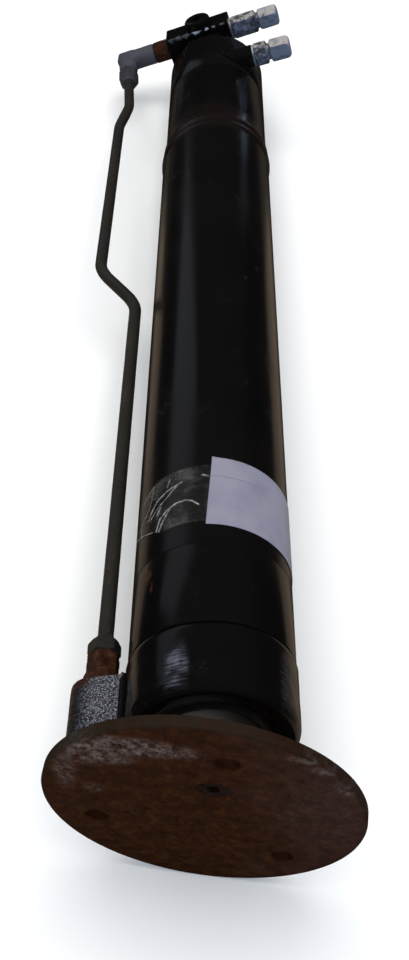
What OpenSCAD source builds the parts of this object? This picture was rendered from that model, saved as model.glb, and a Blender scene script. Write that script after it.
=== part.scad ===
// Hydraulic stabiliser jack cylinder with a ball-jointed round foot plate.
// Every module is drawn with the cylinder axis along +Z and its zero at the joint
// between gland and barrel; lay() turns it so that the axis runs along +Y.

/* [Barrel] */
// Outside diameter of the barrel
barrel_d = 120; // [118:1:124]
// Bore of the barrel
bore_d = 100; // [98:1:101]
// Length of the barrel tube
barrel_l = 692; // [660:2:760]

/* [Closed end] */
// Outside diameter of the closed-end cap
cap_d = 116; // [112:1:118]
// Length of the cap outside the barrel, with its weld
cap_l = 239; // [220:1:260]
// Width of the weld between barrel and cap
cap_weld_w = 32; // [24:1:36]

/* [Rod and piston] */
// Diameter of the chromed rod
rod_d = 70; // [70:1:71]
// Length of the piston
piston_l = 46; // [44:1:50]

/* [Gland] */
// Outside diameter of the gland collar
gland_d = 122; // [120:1:124]
// Length of the gland collar outside the barrel
gland_l = 56; // [55:1:60]
// Length of the gland spigot inside the barrel
spigot_l = 62; // [60:1:70]

/* [Foot] */
// Diameter of the foot plate
foot_d = 212; // [200:1:220]
// Thickness of the foot plate
foot_t = 8; // [7:0.5:9]
// Pitch circle of the three foot bolt holes
foot_pcd = 148; // [140:1:156]
// Diameter of a foot bolt hole
foot_hole_d = 15; // [11:0.5:18]
// Sideways tilt of the foot as it lies
foot_tilt_side = 7.1; // [-9:0.1:9]
// Fore and aft tilt of the foot as it lies
foot_tilt_fore = 4; // [-9:0.1:9]
// Diameter of the foot ball
ball_d = 50; // [50:0.5:50.5]

/* [Pipework] */
// Outside diameter of the steel pipe
pipe_d = 12; // [10:1:12]
// Wall of the steel pipe
pipe_wall = 2; // [1:0.5:2.5]
// Across flats of the union nuts
nut_af = 22; // [22:1:24]
// Across flats of the port adapters
adapter_af = 24; // [22:1:25]
// Direction of the valve block around the axis
cross_angle = -18.5; // [-24:0.5:-16]
// Direction of the gland port block around the axis
port_angle = -12; // [-14:1:-10]

/* [Label] */
// Length of the paper label around the barrel
label_w = 105; // [90:1:110]
// Height of the paper label along the barrel
label_h = 70; // [60:1:80]

/* [Hidden] */
$fn = 96;

// Colours
black_paint = [0.05, 0.05, 0.06];
block_paint = [0.13, 0.13, 0.15];
pipe_paint = [0.20, 0.19, 0.16];
rusty = [0.33, 0.17, 0.09];
zinc = [0.60, 0.62, 0.68];
chrome = [0.80, 0.81, 0.83];
steel = [0.52, 0.52, 0.53];
bronze = [0.62, 0.45, 0.22];
rubber = [0.08, 0.08, 0.08];
nylon = [0.16, 0.30, 0.45];
paper = [0.80, 0.79, 0.86];
tape_clear = [0.70, 0.70, 0.72];

// Fits: slack of pieces that are screwed or pressed together, of a running shaft,
// and of ball joint surfaces
seat_gap = 0.05;
run_gap = 0.05;
ball_gap = 0.3;

barrel_r = barrel_d / 2;
bore_r = bore_d / 2;
cap_r = cap_d / 2;
rod_r = rod_d / 2;
gland_r = gland_d / 2;
ball_r = ball_d / 2;
foot_r = foot_d / 2;

// Closed end
cap_shoulder_z = barrel_l + cap_weld_w;
cap_end_z = barrel_l + cap_l;
cap_core_r = bore_r + 2;
cap_cavity_r = bore_r - 5;
cap_spigot_l = 16;
cap_end_t = 41;
cap_cavity_end_z = cap_end_z - cap_end_t;
cap_groove_z = cap_end_z - 47;

// Valve block, measured in its own cross direction (x) and away from the axis (off)
block_off = 40;
block_half = 17;
block_left = -50.5;
block_right = 32.5;
block_base = [44, 34];
block_base_h = 22;
block_base_x = -2;
block_base_y = 9;
block_z = cap_end_z + block_base_h + block_half;
valve_x = -6;
check_bore_r = 9;
valve_cap_r = 16.5;
cross_bore_r = 5;
port_thread_r = 7;
port_depth = 14;

// Side port of the cap
side_port_angle = -16;
side_port_z = cap_end_z - 53;
boss_r = 13;
boss_end = 58;

// Port adapters and their cap nuts
upper_adapter_l = 32;
lower_adapter_l = 16;
adapter_neck = 3.5;
cap_nut_l = 24.5;

// Elbow and pipe
elbow_x = -108.5;
elbow_lean = 4;
elbow_r = 12.5;
leg_nut_start = 36;
leg_nut_l = 30;
leg_pipe_start = 46;
pipe_r = pipe_d / 2;
jog_bend_r = 24;
slow_bend_r = 60;

// Gland port block and the fitting on it
port_x = -81.5;
port_half = 22;
port_top_z = -6;
port_bottom_z = -52;
port_nose_x = -86;
port_nose_l = 16;
pipe_stud_end_z = 26;
pipe_nut_l = 16.5;

// Rod, piston and travel
piston_end_z = barrel_l - 22;
piston_z = piston_end_z - piston_l;
rod_step_r = 24;
rod_end_z = -75;
gland_end_z = -gland_l;
gland_dish = 4;
wiper_z = gland_end_z + gland_dish;

// Foot ball joint
ball_z = -59;
socket_r = 30;
socket_top = 31;
foot_face = 46;
stud_flange_r = 40;
stud_flange_t = 10;
stalk_r = 14;
hole_phase = -77;
hole_centre = [-0.5, 6.5];
screw_x = 7;
screw_y = -27;

// Axis along +Y, closed end towards +Y
module lay() { rotate([-90, 0, 0]) children(); }

// Frame of the foot: ball centre as origin, tilted as the foot lies
module foot_frame() {
    translate([0, 0, ball_z]) rotate([foot_tilt_fore, foot_tilt_side, 0]) children();
}

// Frame across the cylinder: x along the cross direction, z along the axis
module across(angle, off, z) { rotate([0, 0, angle]) translate([0, -off, z]) children(); }

// Turns a shape drawn along +Z to point along +X
module along_x() { rotate([0, 90, 0]) children(); }

// Ring between two radii
module ring(ro, ri, h) {
    difference() {
        cylinder(r = ro, h = h);
        translate([0, 0, -1]) cylinder(r = ri, h = h + 2);
    }
}

// Hexagon with its corners turned off at both ends
module hex_bar(af, h, c1 = 1.5, c2 = 1.5) {
    ac_r = af / 2 / cos(30);
    flat_r = af / 2 * 0.96;
    intersection() {
        cylinder(r = ac_r, h = h, $fn = 6);
        rotate_extrude() polygon([
            [0, 0], [flat_r, 0], [ac_r + 0.01, c1], [ac_r + 0.01, h - c2], [flat_r, h], [0, h]
        ]);
    }
}

// Union nut on a pipe: hexagon, then a shoulder that closes to the pipe
module union_nut(af, h) {
    ac_r = af / 2 / cos(30);
    flat_r = af / 2 * 0.96;
    difference() {
        intersection() {
            cylinder(r = ac_r, h = h, $fn = 6);
            rotate_extrude() polygon([
                [0, 0], [flat_r, 0], [ac_r + 0.01, 1.5], [ac_r + 0.01, h - 6.5],
                [pipe_r + 2.2, h], [0, h]
            ]);
        }
        translate([0, 0, -1]) cylinder(r = 9, h = 8.5);
        translate([0, 0, 7.4]) cylinder(r1 = 9, r2 = pipe_r + seat_gap, h = 2.6);
        translate([0, 0, -1]) cylinder(r = pipe_r + seat_gap, h = h + 2);
    }
}

// Port adapter: thread into the port, hexagon, and the thread that the cap nut holds
module port_adapter(body_l, waist_l) {
    difference() {
        union() {
            translate([0, 0, -12]) cylinder(r = port_thread_r - seat_gap, h = 12.5);
            hex_bar(adapter_af, body_l);
            cylinder(r = 9.6, h = body_l + waist_l);
            cylinder(r = 8.9, h = body_l + waist_l + 12);
        }
        translate([0, 0, -13]) cylinder(r = 4, h = body_l + waist_l + 26);
    }
}

// Closed cap nut over an adapter's thread
module cap_nut(h) {
    ac_r = adapter_af / 2 / cos(30);
    flat_r = adapter_af / 2 * 0.94;
    difference() {
        intersection() {
            cylinder(r = ac_r, h = h, $fn = 6);
            rotate_extrude() polygon([
                [0, 0], [flat_r, 0], [ac_r + 0.01, 2], [ac_r + 0.01, h - 5], [flat_r - 1, h], [0, h]
            ]);
        }
        translate([0, 0, -1]) cylinder(r = 9, h = 15);
    }
}

// Bonded washer under an adapter
module seal_washer() { ring(12.4, port_thread_r + 0.2, 2); }

module barrel_tube() {
    color(black_paint) rotate_extrude() polygon([
        [bore_r, 1], [bore_r + 1, 0], [barrel_r - 1.5, 0], [barrel_r, 1.5],
        [barrel_r, barrel_l], [bore_r, barrel_l]
    ]);
}

module closed_end_cap() {
    color(black_paint) difference() {
        rotate_extrude() polygon([
            [0, barrel_l - cap_spigot_l],
            [bore_r - seat_gap - 1, barrel_l - cap_spigot_l],
            [bore_r - seat_gap, barrel_l - cap_spigot_l + 1],
            [bore_r - seat_gap, barrel_l],
            [cap_core_r, barrel_l],
            [cap_core_r, cap_shoulder_z],
            [cap_r, cap_shoulder_z],
            [cap_r, cap_groove_z - 2],
            [cap_r - 1.5, cap_groove_z],
            [cap_r, cap_groove_z + 2],
            [cap_r, cap_end_z - 2],
            [cap_r - 2, cap_end_z],
            [0, cap_end_z]
        ]);
        translate([0, 0, barrel_l - cap_spigot_l - 1]) {
            cylinder(r = cap_cavity_r, h = cap_cavity_end_z - barrel_l + cap_spigot_l + 1);
        }
        across(cross_angle, block_off, cap_cavity_end_z - 1) {
            translate([valve_x, 0, 0]) cylinder(r = cross_bore_r, h = cap_end_t + 2);
        }
        across(side_port_angle, block_off, side_port_z) {
            along_x() cylinder(r = cross_bore_r, h = 60);
            translate([boss_end - port_depth, 0, 0]) along_x() cylinder(r = port_thread_r, h = 20);
        }
    }
}

// Two weld beads from the barrel down to the cap's shoulder
module cap_weld() {
    half = cap_weld_w / 2;
    color(black_paint) rotate_extrude() polygon(concat(
        [[cap_core_r, barrel_l]],
        [for (i = [0 : 8]) [
            barrel_r + 1.6 * sin(i * 22.5) - 0.8 * i / 8,
            barrel_l + half * i / 8
        ]],
        [for (i = [1 : 8]) [
            barrel_r - 0.8 + 1.2 * sin(i * 22.5) - (barrel_r - 0.8 - cap_r) * i / 8,
            barrel_l + half + half * i / 8
        ]],
        [[cap_core_r, cap_shoulder_z]]
    ));
}

module valve_block() {
    bar_l = block_right - block_left;
    edge = 1.5;
    color(black_paint) across(cross_angle, block_off, block_z) difference() {
        union() {
            translate([block_left, 0, 0]) along_x() linear_extrude(bar_l) polygon([
                [block_half - edge, block_half], [block_half, block_half - edge],
                [block_half, edge - block_half], [block_half - edge, -block_half],
                [edge - block_half, -block_half], [-block_half, edge - block_half],
                [-block_half, block_half - edge], [edge - block_half, block_half]
            ]);
            translate([
                block_base_x - block_base[0] / 2,
                block_base_y - block_base[1] / 2,
                -block_half - block_base_h + seat_gap
            ]) cube([block_base[0], block_base[1], block_base_h]);
        }
        translate([block_left - 1, 0, 0]) along_x() cylinder(r = cross_bore_r, h = bar_l + 2);
        translate([block_left - 1, 0, 0]) along_x() cylinder(r = port_thread_r, h = port_depth + 1);
        translate([block_right - port_depth, 0, 0]) along_x() {
            cylinder(r = port_thread_r, h = port_depth + 1);
        }
        translate([valve_x, 0, -block_half - block_base_h - 1]) cylinder(r = cross_bore_r, h = 40);
        translate([valve_x, 10, 0]) rotate([90, 0, 0]) cylinder(r = check_bore_r, h = 30);
    }
}

// Fillet weld around the block's base
module valve_block_weld() {
    fillet = 3;
    half = block_base / 2;
    color(black_paint) across(cross_angle, block_off, cap_end_z + seat_gap) {
        translate([block_base_x, block_base_y, 0]) for (turn = [0 : 3]) {
            reach = half[turn % 2];
            run = 2 * half[(turn + 1) % 2] + fillet * 0.6;
            rotate([0, 0, 90 * turn]) translate([reach, 0, 0]) rotate([90, 0, 0]) {
                linear_extrude(run, center = true) polygon([[0, 0], [fillet, 0], [0, fillet]]);
            }
        }
    }
}

// Screwed cap over the check valve, with a hexagon socket
module check_valve_cap() {
    color(black_paint) across(cross_angle, block_off, block_z) {
        translate([valve_x, -block_half, 0]) rotate([90, 0, 0]) difference() {
            union() {
                rotate_extrude() polygon([
                    [0, 0], [valve_cap_r, 0], [valve_cap_r, 7], [valve_cap_r - 3, 10], [0, 10]
                ]);
                translate([0, 0, -10]) cylinder(r = check_bore_r - seat_gap, h = 10.5);
            }
            translate([0, 0, -11]) cylinder(r = 5.5, h = 8);
            translate([0, 0, 4]) cylinder(r = 5.8, h = 7, $fn = 6);
            translate([0, 0, -2.4]) ring(check_bore_r + 1, check_bore_r - 1.6, 2.2);
        }
    }
}

module check_valve_oring() {
    color(rubber) across(cross_angle, block_off, block_z) {
        translate([valve_x, 1.3 - block_half, 0]) rotate([90, 0, 0]) {
            rotate_extrude() translate([check_bore_r - 0.82, 0]) circle(r = 0.75, $fn = 24);
        }
    }
}

// Spring behind the check valve poppet
module check_spring() {
    turns = 4;
    color(steel) across(cross_angle, block_off, block_z) {
        translate([valve_x, -4.6, 0]) rotate([90, 0, 0]) {
            linear_extrude(9, twist = -360 * turns, slices = 24 * turns, $fn = 10) {
                translate([4.2, 0]) scale([0.7, 1.4]) circle(r = 1);
            }
        }
    }
}

module check_poppet() {
    color(steel) across(cross_angle, block_off, block_z) {
        translate([valve_x, 9.7, 0]) rotate([90, 0, 0]) rotate_extrude() polygon([
            [0, 0], [5, 0], [8.6, 3.6], [8.6, 10], [2.6, 10.5], [2.6, 15], [0, 15]
        ]);
    }
}

module upper_seal_washer() {
    color(zinc) across(cross_angle, block_off, block_z) {
        translate([block_right, 0, 0]) along_x() seal_washer();
    }
}

module upper_adapter() {
    color(zinc) across(cross_angle, block_off, block_z) {
        translate([block_right + 2, 0, 0]) along_x() rotate([0, 0, 15]) {
            port_adapter(upper_adapter_l, adapter_neck);
        }
    }
}

module upper_cap_nut() {
    color(zinc) across(cross_angle, block_off, block_z) {
        translate([block_right + 2 + upper_adapter_l + adapter_neck, 0, 0]) along_x() {
            rotate([0, 0, 30]) cap_nut(cap_nut_l);
        }
    }
}

// Round boss welded to the side of the cap
module lower_port_boss() {
    color(black_paint) difference() {
        across(side_port_angle, block_off, side_port_z) translate([20, 0, 0]) along_x() {
            difference() {
                cylinder(r = boss_r, h = boss_end - 20);
                translate([0, 0, boss_end - 20 - port_depth]) {
                    cylinder(r = port_thread_r, h = port_depth + 1);
                }
                translate([0, 0, -1]) cylinder(r = cross_bore_r, h = boss_end);
            }
        }
        translate([0, 0, side_port_z - 30]) cylinder(r = cap_r + seat_gap, h = 60);
    }
}

// Weld collar where the boss meets the cap
module lower_boss_weld() {
    color(black_paint) difference() {
        across(side_port_angle, block_off, side_port_z) translate([20, 0, 0]) along_x() {
            difference() {
                union() {
                    cylinder(r = boss_r + 3.5, h = 20);
                    translate([0, 0, 19.99]) cylinder(r1 = boss_r + 3.5, r2 = boss_r + 0.5, h = 5);
                }
                translate([0, 0, -1]) cylinder(r = boss_r + seat_gap, h = 40);
            }
        }
        translate([0, 0, side_port_z - 30]) cylinder(r = cap_r + seat_gap, h = 60);
    }
}

module lower_seal_washer() {
    color(zinc) across(side_port_angle, block_off, side_port_z) {
        translate([boss_end, 0, 0]) along_x() seal_washer();
    }
}

module lower_adapter() {
    color(zinc) across(side_port_angle, block_off, side_port_z) {
        translate([boss_end + 2, 0, 0]) along_x() port_adapter(lower_adapter_l, adapter_neck);
    }
}

module lower_cap_nut() {
    color(zinc) across(side_port_angle, block_off, side_port_z) {
        translate([boss_end + 2 + lower_adapter_l + adapter_neck, 0, 0]) along_x() {
            rotate([0, 0, 20]) cap_nut(cap_nut_l);
        }
    }
}

// Frame of the elbow's lower leg: z runs from the corner down towards the pipe
module elbow_leg_frame() {
    across(cross_angle, block_off, block_z) {
        translate([elbow_x, 0, 0]) rotate([0, 180 - elbow_lean, 0]) children();
    }
}

// Hexagon stud from the valve block to the elbow
module elbow_stud() {
    color(rusty) across(cross_angle, block_off, block_z) translate([block_left, 0, 0]) {
        rotate([0, -90, 0]) difference() {
            union() {
                translate([0, 0, -12]) cylinder(r = port_thread_r - seat_gap, h = 12.5);
                rotate([0, 0, 12]) hex_bar(adapter_af, 20);
            }
            translate([0, 0, -13]) cylinder(r = 4, h = 40);
        }
    }
}

module elbow_fitting() {
    stud_l = 20;
    leg_l = block_left - stud_l - elbow_x;
    color(pipe_paint) difference() {
        union() {
            across(cross_angle, block_off, block_z) {
                translate([elbow_x, 0, 0]) along_x() cylinder(r = elbow_r, h = leg_l);
            }
            elbow_leg_frame() {
                sphere(r = elbow_r + 0.6);
                cylinder(r = elbow_r - 0.3, h = 30);
                cylinder(r = 8.9, h = leg_nut_start + 6);
            }
        }
        across(cross_angle, block_off, block_z) {
            translate([elbow_x, 0, 0]) along_x() cylinder(r = 4, h = leg_l + 1);
        }
        elbow_leg_frame() {
            cylinder(r = 4, h = leg_pipe_start);
            translate([0, 0, leg_nut_start - 2]) cylinder(r = pipe_r + seat_gap, h = 20);
        }
    }
}

module elbow_nut() {
    color(pipe_paint) elbow_leg_frame() {
        translate([0, 0, leg_nut_start]) union_nut(nut_af, leg_nut_l);
    }
}

module elbow_ferrule() {
    color(steel) elbow_leg_frame() {
        translate([0, 0, leg_nut_start + 6.1]) ring(8.8, pipe_r + seat_gap, 1.2);
    }
}

// Corners of the pipe, from the port block up to the elbow
function cross_point(x, z) = [
    x * cos(cross_angle) + block_off * sin(cross_angle),
    x * sin(cross_angle) - block_off * cos(cross_angle),
    z
];
function leg_point(t) = cross_point(elbow_x + t * sin(elbow_lean), block_z - t * cos(elbow_lean));
port_axis = [port_x * cos(port_angle), port_x * sin(port_angle)];
run_x = -109.5;
pipe_sides = 16;
bend_steps = 8;
pipe_bends = [0, jog_bend_r, jog_bend_r, slow_bend_r, slow_bend_r, 0];
pipe_points = [
    [port_axis[0], port_axis[1], pipe_stud_end_z - 8],
    [port_axis[0], port_axis[1], 463],
    cross_point(run_x, 492),
    cross_point(run_x, 795),
    leg_point(132),
    leg_point(leg_pipe_start - 8)
];

function unit(v) = v / norm(v);
// Turns v by angle a about the unit axis w
function spun(v, w, a) = v * cos(a) + cross(w, v) * sin(a) + w * (w * v) * (1 - cos(a));
// Direction of the leg that ends at corner i
function leg(i) = unit(pipe_points[i] - pipe_points[i - 1]);
// Axis and angle of the bend at corner i
function bend_axis(i) = unit(cross(leg(i), leg(i + 1)));
function bend_angle(i) = acos(leg(i) * leg(i + 1));
// Sideways direction of the pipe's rings after corner i, carried on from leg to leg
function side_of(i) = i == 0 ? [1, 0, 0] : spun(side_of(i - 1), bend_axis(i), bend_angle(i));
// Ring frames [centre, direction, sideways] through the bend at corner i
function bend_frames(i) = let (
    r = pipe_bends[i],
    w = bend_axis(i),
    out = cross(leg(i), w),
    centre = pipe_points[i] - leg(i) * r * tan(bend_angle(i) / 2) - out * r
) [for (k = [0 : bend_steps]) let (a = bend_angle(i) * k / bend_steps) [
    centre + spun(out, w, a) * r,
    spun(leg(i), w, a),
    spun(side_of(i - 1), w, a)
]];
// Points of one ring of radius r
function ring_points(f, r) = [for (j = [0 : pipe_sides - 1]) let (t = 360 * j / pipe_sides)
    f[0] + r * (f[2] * cos(t) + cross(f[1], f[2]) * sin(t))
];

// Bent pipe, swept as an open tube along its legs and bends
module steel_pipe() {
    last = len(pipe_points) - 1;
    frames = concat(
        [[pipe_points[0], leg(1), side_of(0)]],
        [for (i = [1 : last - 1]) each bend_frames(i)],
        [[pipe_points[last], leg(last), side_of(last - 1)]]
    );
    m = pipe_sides;
    n = len(frames);
    inner = n * m;
    outside = [for (f = frames) each ring_points(f, pipe_r)];
    inside = [for (f = frames) each ring_points(f, pipe_r - pipe_wall)];
    faces = concat(
        [for (k = [0 : n - 2], j = [0 : m - 1]) let (q = (j + 1) % m)
            [k * m + j, (k + 1) * m + j, (k + 1) * m + q, k * m + q]],
        [for (k = [0 : n - 2], j = [0 : m - 1]) let (q = (j + 1) % m)
            [inner + k * m + j, inner + k * m + q, inner + (k + 1) * m + q, inner + (k + 1) * m + j]],
        [for (j = [0 : m - 1]) let (q = (j + 1) % m) [j, q, inner + q, inner + j]],
        [for (j = [0 : m - 1]) let (q = (j + 1) % m, e = (n - 1) * m)
            [e + j, inner + e + j, inner + e + q, e + q]]
    );
    color(pipe_paint) polyhedron(points = concat(outside, inside), faces = faces);
}

// Frame on the port block's pipe axis
module port_axis_frame(z) { translate([port_axis[0], port_axis[1], z]) children(); }

module pipe_nut() {
    color(pipe_paint) port_axis_frame(pipe_stud_end_z) rotate([0, 0, 10]) {
        union_nut(nut_af, pipe_nut_l);
    }
}

module pipe_ferrule() {
    color(steel) port_axis_frame(pipe_stud_end_z + 6.1) ring(8.8, pipe_r + seat_gap, 1.2);
}

// Stud fitting screwed into the port block, rusted over
module pipe_stud() {
    color(rusty) port_axis_frame(port_top_z) difference() {
        union() {
            translate([0, 0, -14]) cylinder(r = port_thread_r - seat_gap, h = 15);
            cylinder(r = 13.5, h = 14);
            translate([0, 0, 14]) rotate([0, 0, 25]) hex_bar(nut_af, pipe_stud_end_z - port_top_z - 14);
            cylinder(r = 8.9, h = pipe_stud_end_z - port_top_z + 6);
        }
        translate([0, 0, -15]) cylinder(r = 4, h = 60);
        translate([0, 0, pipe_stud_end_z - port_top_z - 9]) cylinder(r = pipe_r + seat_gap, h = 20);
    }
}

// Cast port block with a rounded nose, welded to the gland
module gland_port_block() {
    nose = [for (i = [0 : 12]) [
        port_nose_x - port_nose_l * sin(i * 15),
        port_half * cos(i * 15)
    ]];
    color(block_paint) difference() {
        rotate([0, 0, port_angle]) translate([0, 0, port_bottom_z]) {
            linear_extrude(port_top_z - port_bottom_z) {
                polygon(concat([[-46, port_half]], nose, [[-46, -port_half]]));
            }
        }
        translate([0, 0, port_bottom_z - 1]) cylinder(r = gland_r + seat_gap, h = 60);
        port_axis_frame(port_top_z - 16) cylinder(r = port_thread_r, h = 20);
        port_axis_frame(-34) cylinder(r = 4, h = 30);
        rotate([0, 0, port_angle]) translate([port_x, 0, -30]) along_x() cylinder(r = 3.2, h = 40);
    }
}

// Weld between port block and gland, along the block's two sides
module port_block_weld() {
    seam = 6;
    color(black_paint) difference() {
        rotate([0, 0, port_angle]) for (side = [-1, 1]) {
            translate([-58, side * (port_half + seam / 2), port_bottom_z]) {
                rotate([0, 0, side * -35]) translate([0, -seam / 2, 0]) {
                    cube([seam * 1.2, seam, port_top_z - port_bottom_z]);
                }
            }
        }
        translate([0, 0, port_bottom_z - 1]) cylinder(r = gland_r + seat_gap, h = 60);
        rotate([0, 0, port_angle]) translate([-120, -port_half - seat_gap, port_bottom_z - 1]) {
            cube([80, 2 * (port_half + seat_gap), 60]);
        }
    }
}

// Gland: rounded collar outside, spigot in the barrel, grooves for its seals
module gland_head() {
    round_l = 10;
    round_r = 5.5;
    color(black_paint) difference() {
        rotate_extrude() polygon(concat(
            [[rod_r + 0.4, spigot_l], [bore_r - 1.5, spigot_l], [bore_r - seat_gap, spigot_l - 1.5]],
            [[bore_r - seat_gap, 0.5], [bore_r + 1, -0.8], [gland_r - 2.5, -0.8], [gland_r, -3.2]],
            [for (i = [0 : 8]) [
                gland_r - round_r * (1 - cos(i * 11.25)),
                gland_end_z + round_l * (1 - sin(i * 11.25))
            ]],
            [[rod_r + 0.4, gland_end_z]]
        ));
        translate([0, 0, gland_end_z - 1]) cylinder(r1 = rod_r + 13, r2 = rod_r + 9, h = gland_dish + 1);
        translate([0, 0, wiper_z - 1]) cylinder(r = rod_r + 6, h = 9);
        translate([0, 0, -40]) cylinder(r = rod_r + 6, h = 12);
        translate([0, 0, -20]) cylinder(r = rod_r + 2.6, h = 15);
        translate([0, 0, 20]) cylinder(r = rod_r + 2.6, h = 15);
        translate([0, 0, 44]) ring(bore_r + 1, bore_r - 2.7, 6);
        rotate([0, 0, port_angle]) {
            translate([-44.4, 0, -33]) cylinder(r = 2.5, h = 120);
            translate([-gland_r - 1, 0, -30]) along_x() cylinder(r = 3, h = gland_r - 43);
        }
    }
}

module gland_oring() {
    color(rubber) rotate_extrude() translate([bore_r - 1.35, 45.6]) circle(r = 1.28, $fn = 24);
}

module gland_backup_ring() {
    color(nylon) translate([0, 0, 47.4]) ring(bore_r - seat_gap, bore_r - 2.65, 2.4);
}

module rod_guide_rings() {
    color(nylon) for (z = [-19.8, 20.2]) {
        translate([0, 0, z]) ring(rod_r + 2.55, rod_r + run_gap, 14.6);
    }
}

// Lip seal on the rod
module rod_seal() {
    color(rubber) rotate_extrude() polygon([
        [rod_r + run_gap, -39.9], [rod_r + 5.95, -39.9], [rod_r + 5.95, -28.2],
        [rod_r + 4.4, -28.2], [rod_r + 3.2, -33], [rod_r + 1.6, -28.2], [rod_r + run_gap, -28.2]
    ]);
}

// Wiper in the gland's mouth
module wiper_seal() {
    z = wiper_z;
    color(rubber) rotate_extrude() polygon([
        [rod_r + run_gap, z - 1.2], [rod_r + 1, z - 1.8], [rod_r + 3.4, z + 0.4],
        [rod_r + 5.95, z + 0.4], [rod_r + 5.95, z + 7.9], [rod_r + 1.2, z + 7.9],
        [rod_r + 1.2, z + 2.6]
    ]);
}

// Paper label bent round the barrel
module paper_label() {
    turn_deg = label_w / barrel_r * 180 / PI;
    color(paper) translate([0, 0, 85.6]) rotate([0, 0, -91]) {
        rotate_extrude(angle = turn_deg) translate([barrel_r + 0.35, 0]) square([0.25, label_h]);
    }
}

// Clear packing tape beside the label
module packing_tape() {
    tape_z = 92.5;
    tape_h = 58;
    tape_start = -168;
    tape_turn = 76;
    color(tape_clear) translate([0, 0, tape_z]) rotate([0, 0, tape_start]) {
        rotate_extrude(angle = tape_turn) translate([barrel_r + 0.1, 0]) square([0.2, tape_h]);
    }
}

// Rod with a ball socket in its foot end and a step for the piston
module rod() {
    color(chrome) rotate_extrude() polygon([
        [socket_r, rod_end_z], [rod_r - 1.5, rod_end_z], [rod_r, rod_end_z + 1.5],
        [rod_r, piston_z - 2], [rod_r - 2, piston_z], [rod_step_r, piston_z],
        [rod_step_r, piston_end_z + 24], [rod_step_r - 2, piston_end_z + 26], [0, piston_end_z + 26],
        [0, ball_z + socket_top], [socket_r, ball_z + socket_top]
    ]);
}

module piston() {
    seal_z = piston_z + piston_l / 2 - 6;
    color(steel) difference() {
        translate([0, 0, piston_z]) rotate_extrude() polygon([
            [rod_step_r + seat_gap, 0], [bore_r - 2, 0], [bore_r - 0.5, 1.5],
            [bore_r - 0.5, piston_l - 1.5], [bore_r - 2, piston_l], [rod_step_r + seat_gap, piston_l]
        ]);
        translate([0, 0, seal_z]) ring(bore_r + 1, bore_r - 6, 12);
        for (z = [piston_z + 4, piston_end_z - 12]) {
            translate([0, 0, z]) ring(bore_r + 1, bore_r - 2.6, 8);
        }
        translate([0, 0, piston_z + piston_l / 2 - 1.8]) cylinder(r = rod_step_r + 2.3, h = 3.6);
    }
}

module piston_seal() {
    color(nylon) translate([0, 0, piston_z + piston_l / 2 - 5.9]) {
        ring(bore_r - run_gap, bore_r - 5.95, 11.8);
    }
}

module piston_wear_rings() {
    color(nylon) for (z = [piston_z + 4.1, piston_end_z - 11.9]) {
        translate([0, 0, z]) ring(bore_r - run_gap, bore_r - 2.55, 7.8);
    }
}

module piston_oring() {
    color(rubber) translate([0, 0, piston_z + piston_l / 2]) {
        rotate_extrude() translate([rod_step_r + 1.2, 0]) circle(r = 1.05, $fn = 24);
    }
}

module piston_nut() {
    color(steel) translate([0, 0, piston_end_z]) difference() {
        hex_bar(68, 22, 3, 3);
        translate([0, 0, -1]) cylinder(r = rod_step_r + seat_gap, h = 24);
    }
}

// Ring screwed into the rod's end, which keeps the ball in its socket
module ball_retaining_ring() {
    ring_t = 4;
    color(steel) translate([0, 0, rod_end_z]) difference() {
        cylinder(r = socket_r - seat_gap, h = ring_t);
        translate([0, 0, -0.01]) cylinder(r1 = 20.9, r2 = 22.6, h = ring_t + 0.02);
        for (a = [30 : 90 : 300]) {
            rotate([0, 0, a]) translate([26.5, 0, -1]) cylinder(r = 1.6, h = 3.5, $fn = 24);
        }
        rotate([0, 0, 75]) translate([27.5, 0, ring_t / 2]) along_x() cylinder(r = 1.3, h = 4, $fn = 24);
    }
}

// Grub screw that locks the retaining ring
module ring_lock_screw() {
    color(steel) rotate([0, 0, 75]) translate([27.6, 0, rod_end_z + 2]) along_x() {
        cylinder(r = 1.2, h = socket_r - 27.7, $fn = 24);
    }
}

// Cup over the top of the ball, free to turn in the rod
module upper_ball_seat() {
    color(bronze) translate([0, 0, ball_z]) difference() {
        translate([0, 0, 5.4]) cylinder(r = socket_r - ball_gap, h = socket_top - ball_gap - 5.4);
        sphere(r = ball_r + ball_gap);
        translate([0, 0, 20]) cylinder(r = 4, h = 20);
    }
}

// Floating ring under the ball's equator
module lower_ball_seat() {
    outer = socket_r - 0.4;
    inner = ball_r + ball_gap;
    arc = [for (i = [0 : 8]) -1 - 12 * i / 8];
    color(bronze) translate([0, 0, ball_z]) rotate([0, foot_tilt_side, 0]) {
        rotate_extrude() polygon(concat(
            [for (a = arc) [outer * cos(a), outer * sin(a)]],
            [for (i = [8 : -1 : 0]) [inner * cos(arc[i]) + 0.05, inner * sin(arc[i])]]
        ));
    }
}

// Ball, stalk and flange in one piece
module ball_stud() {
    flange_top = -foot_face + foot_t + stud_flange_t;
    color(steel) foot_frame() difference() {
        union() {
            sphere(r = ball_r);
            translate([0, 0, flange_top]) cylinder(r = stalk_r, h = -flange_top);
            translate([0, 0, flange_top - stud_flange_t]) rotate_extrude() polygon([
                [0, 0], [stud_flange_r, 0], [stud_flange_r, 7], [stud_flange_r - 3, 10], [0, 10]
            ]);
        }
        translate([screw_x, screw_y, -foot_face]) cylinder(r = 6, h = foot_t + 7);
    }
}

// Fillet weld between the stud's flange and the plate
module stud_weld() {
    leg = 5;
    color(steel) foot_frame() translate([0, 0, foot_t - foot_face]) rotate_extrude() polygon([
        [stud_flange_r + seat_gap, 0], [stud_flange_r + leg, 0],
        [stud_flange_r + leg * 0.55, leg * 0.55], [stud_flange_r + seat_gap, leg]
    ]);
}

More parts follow.
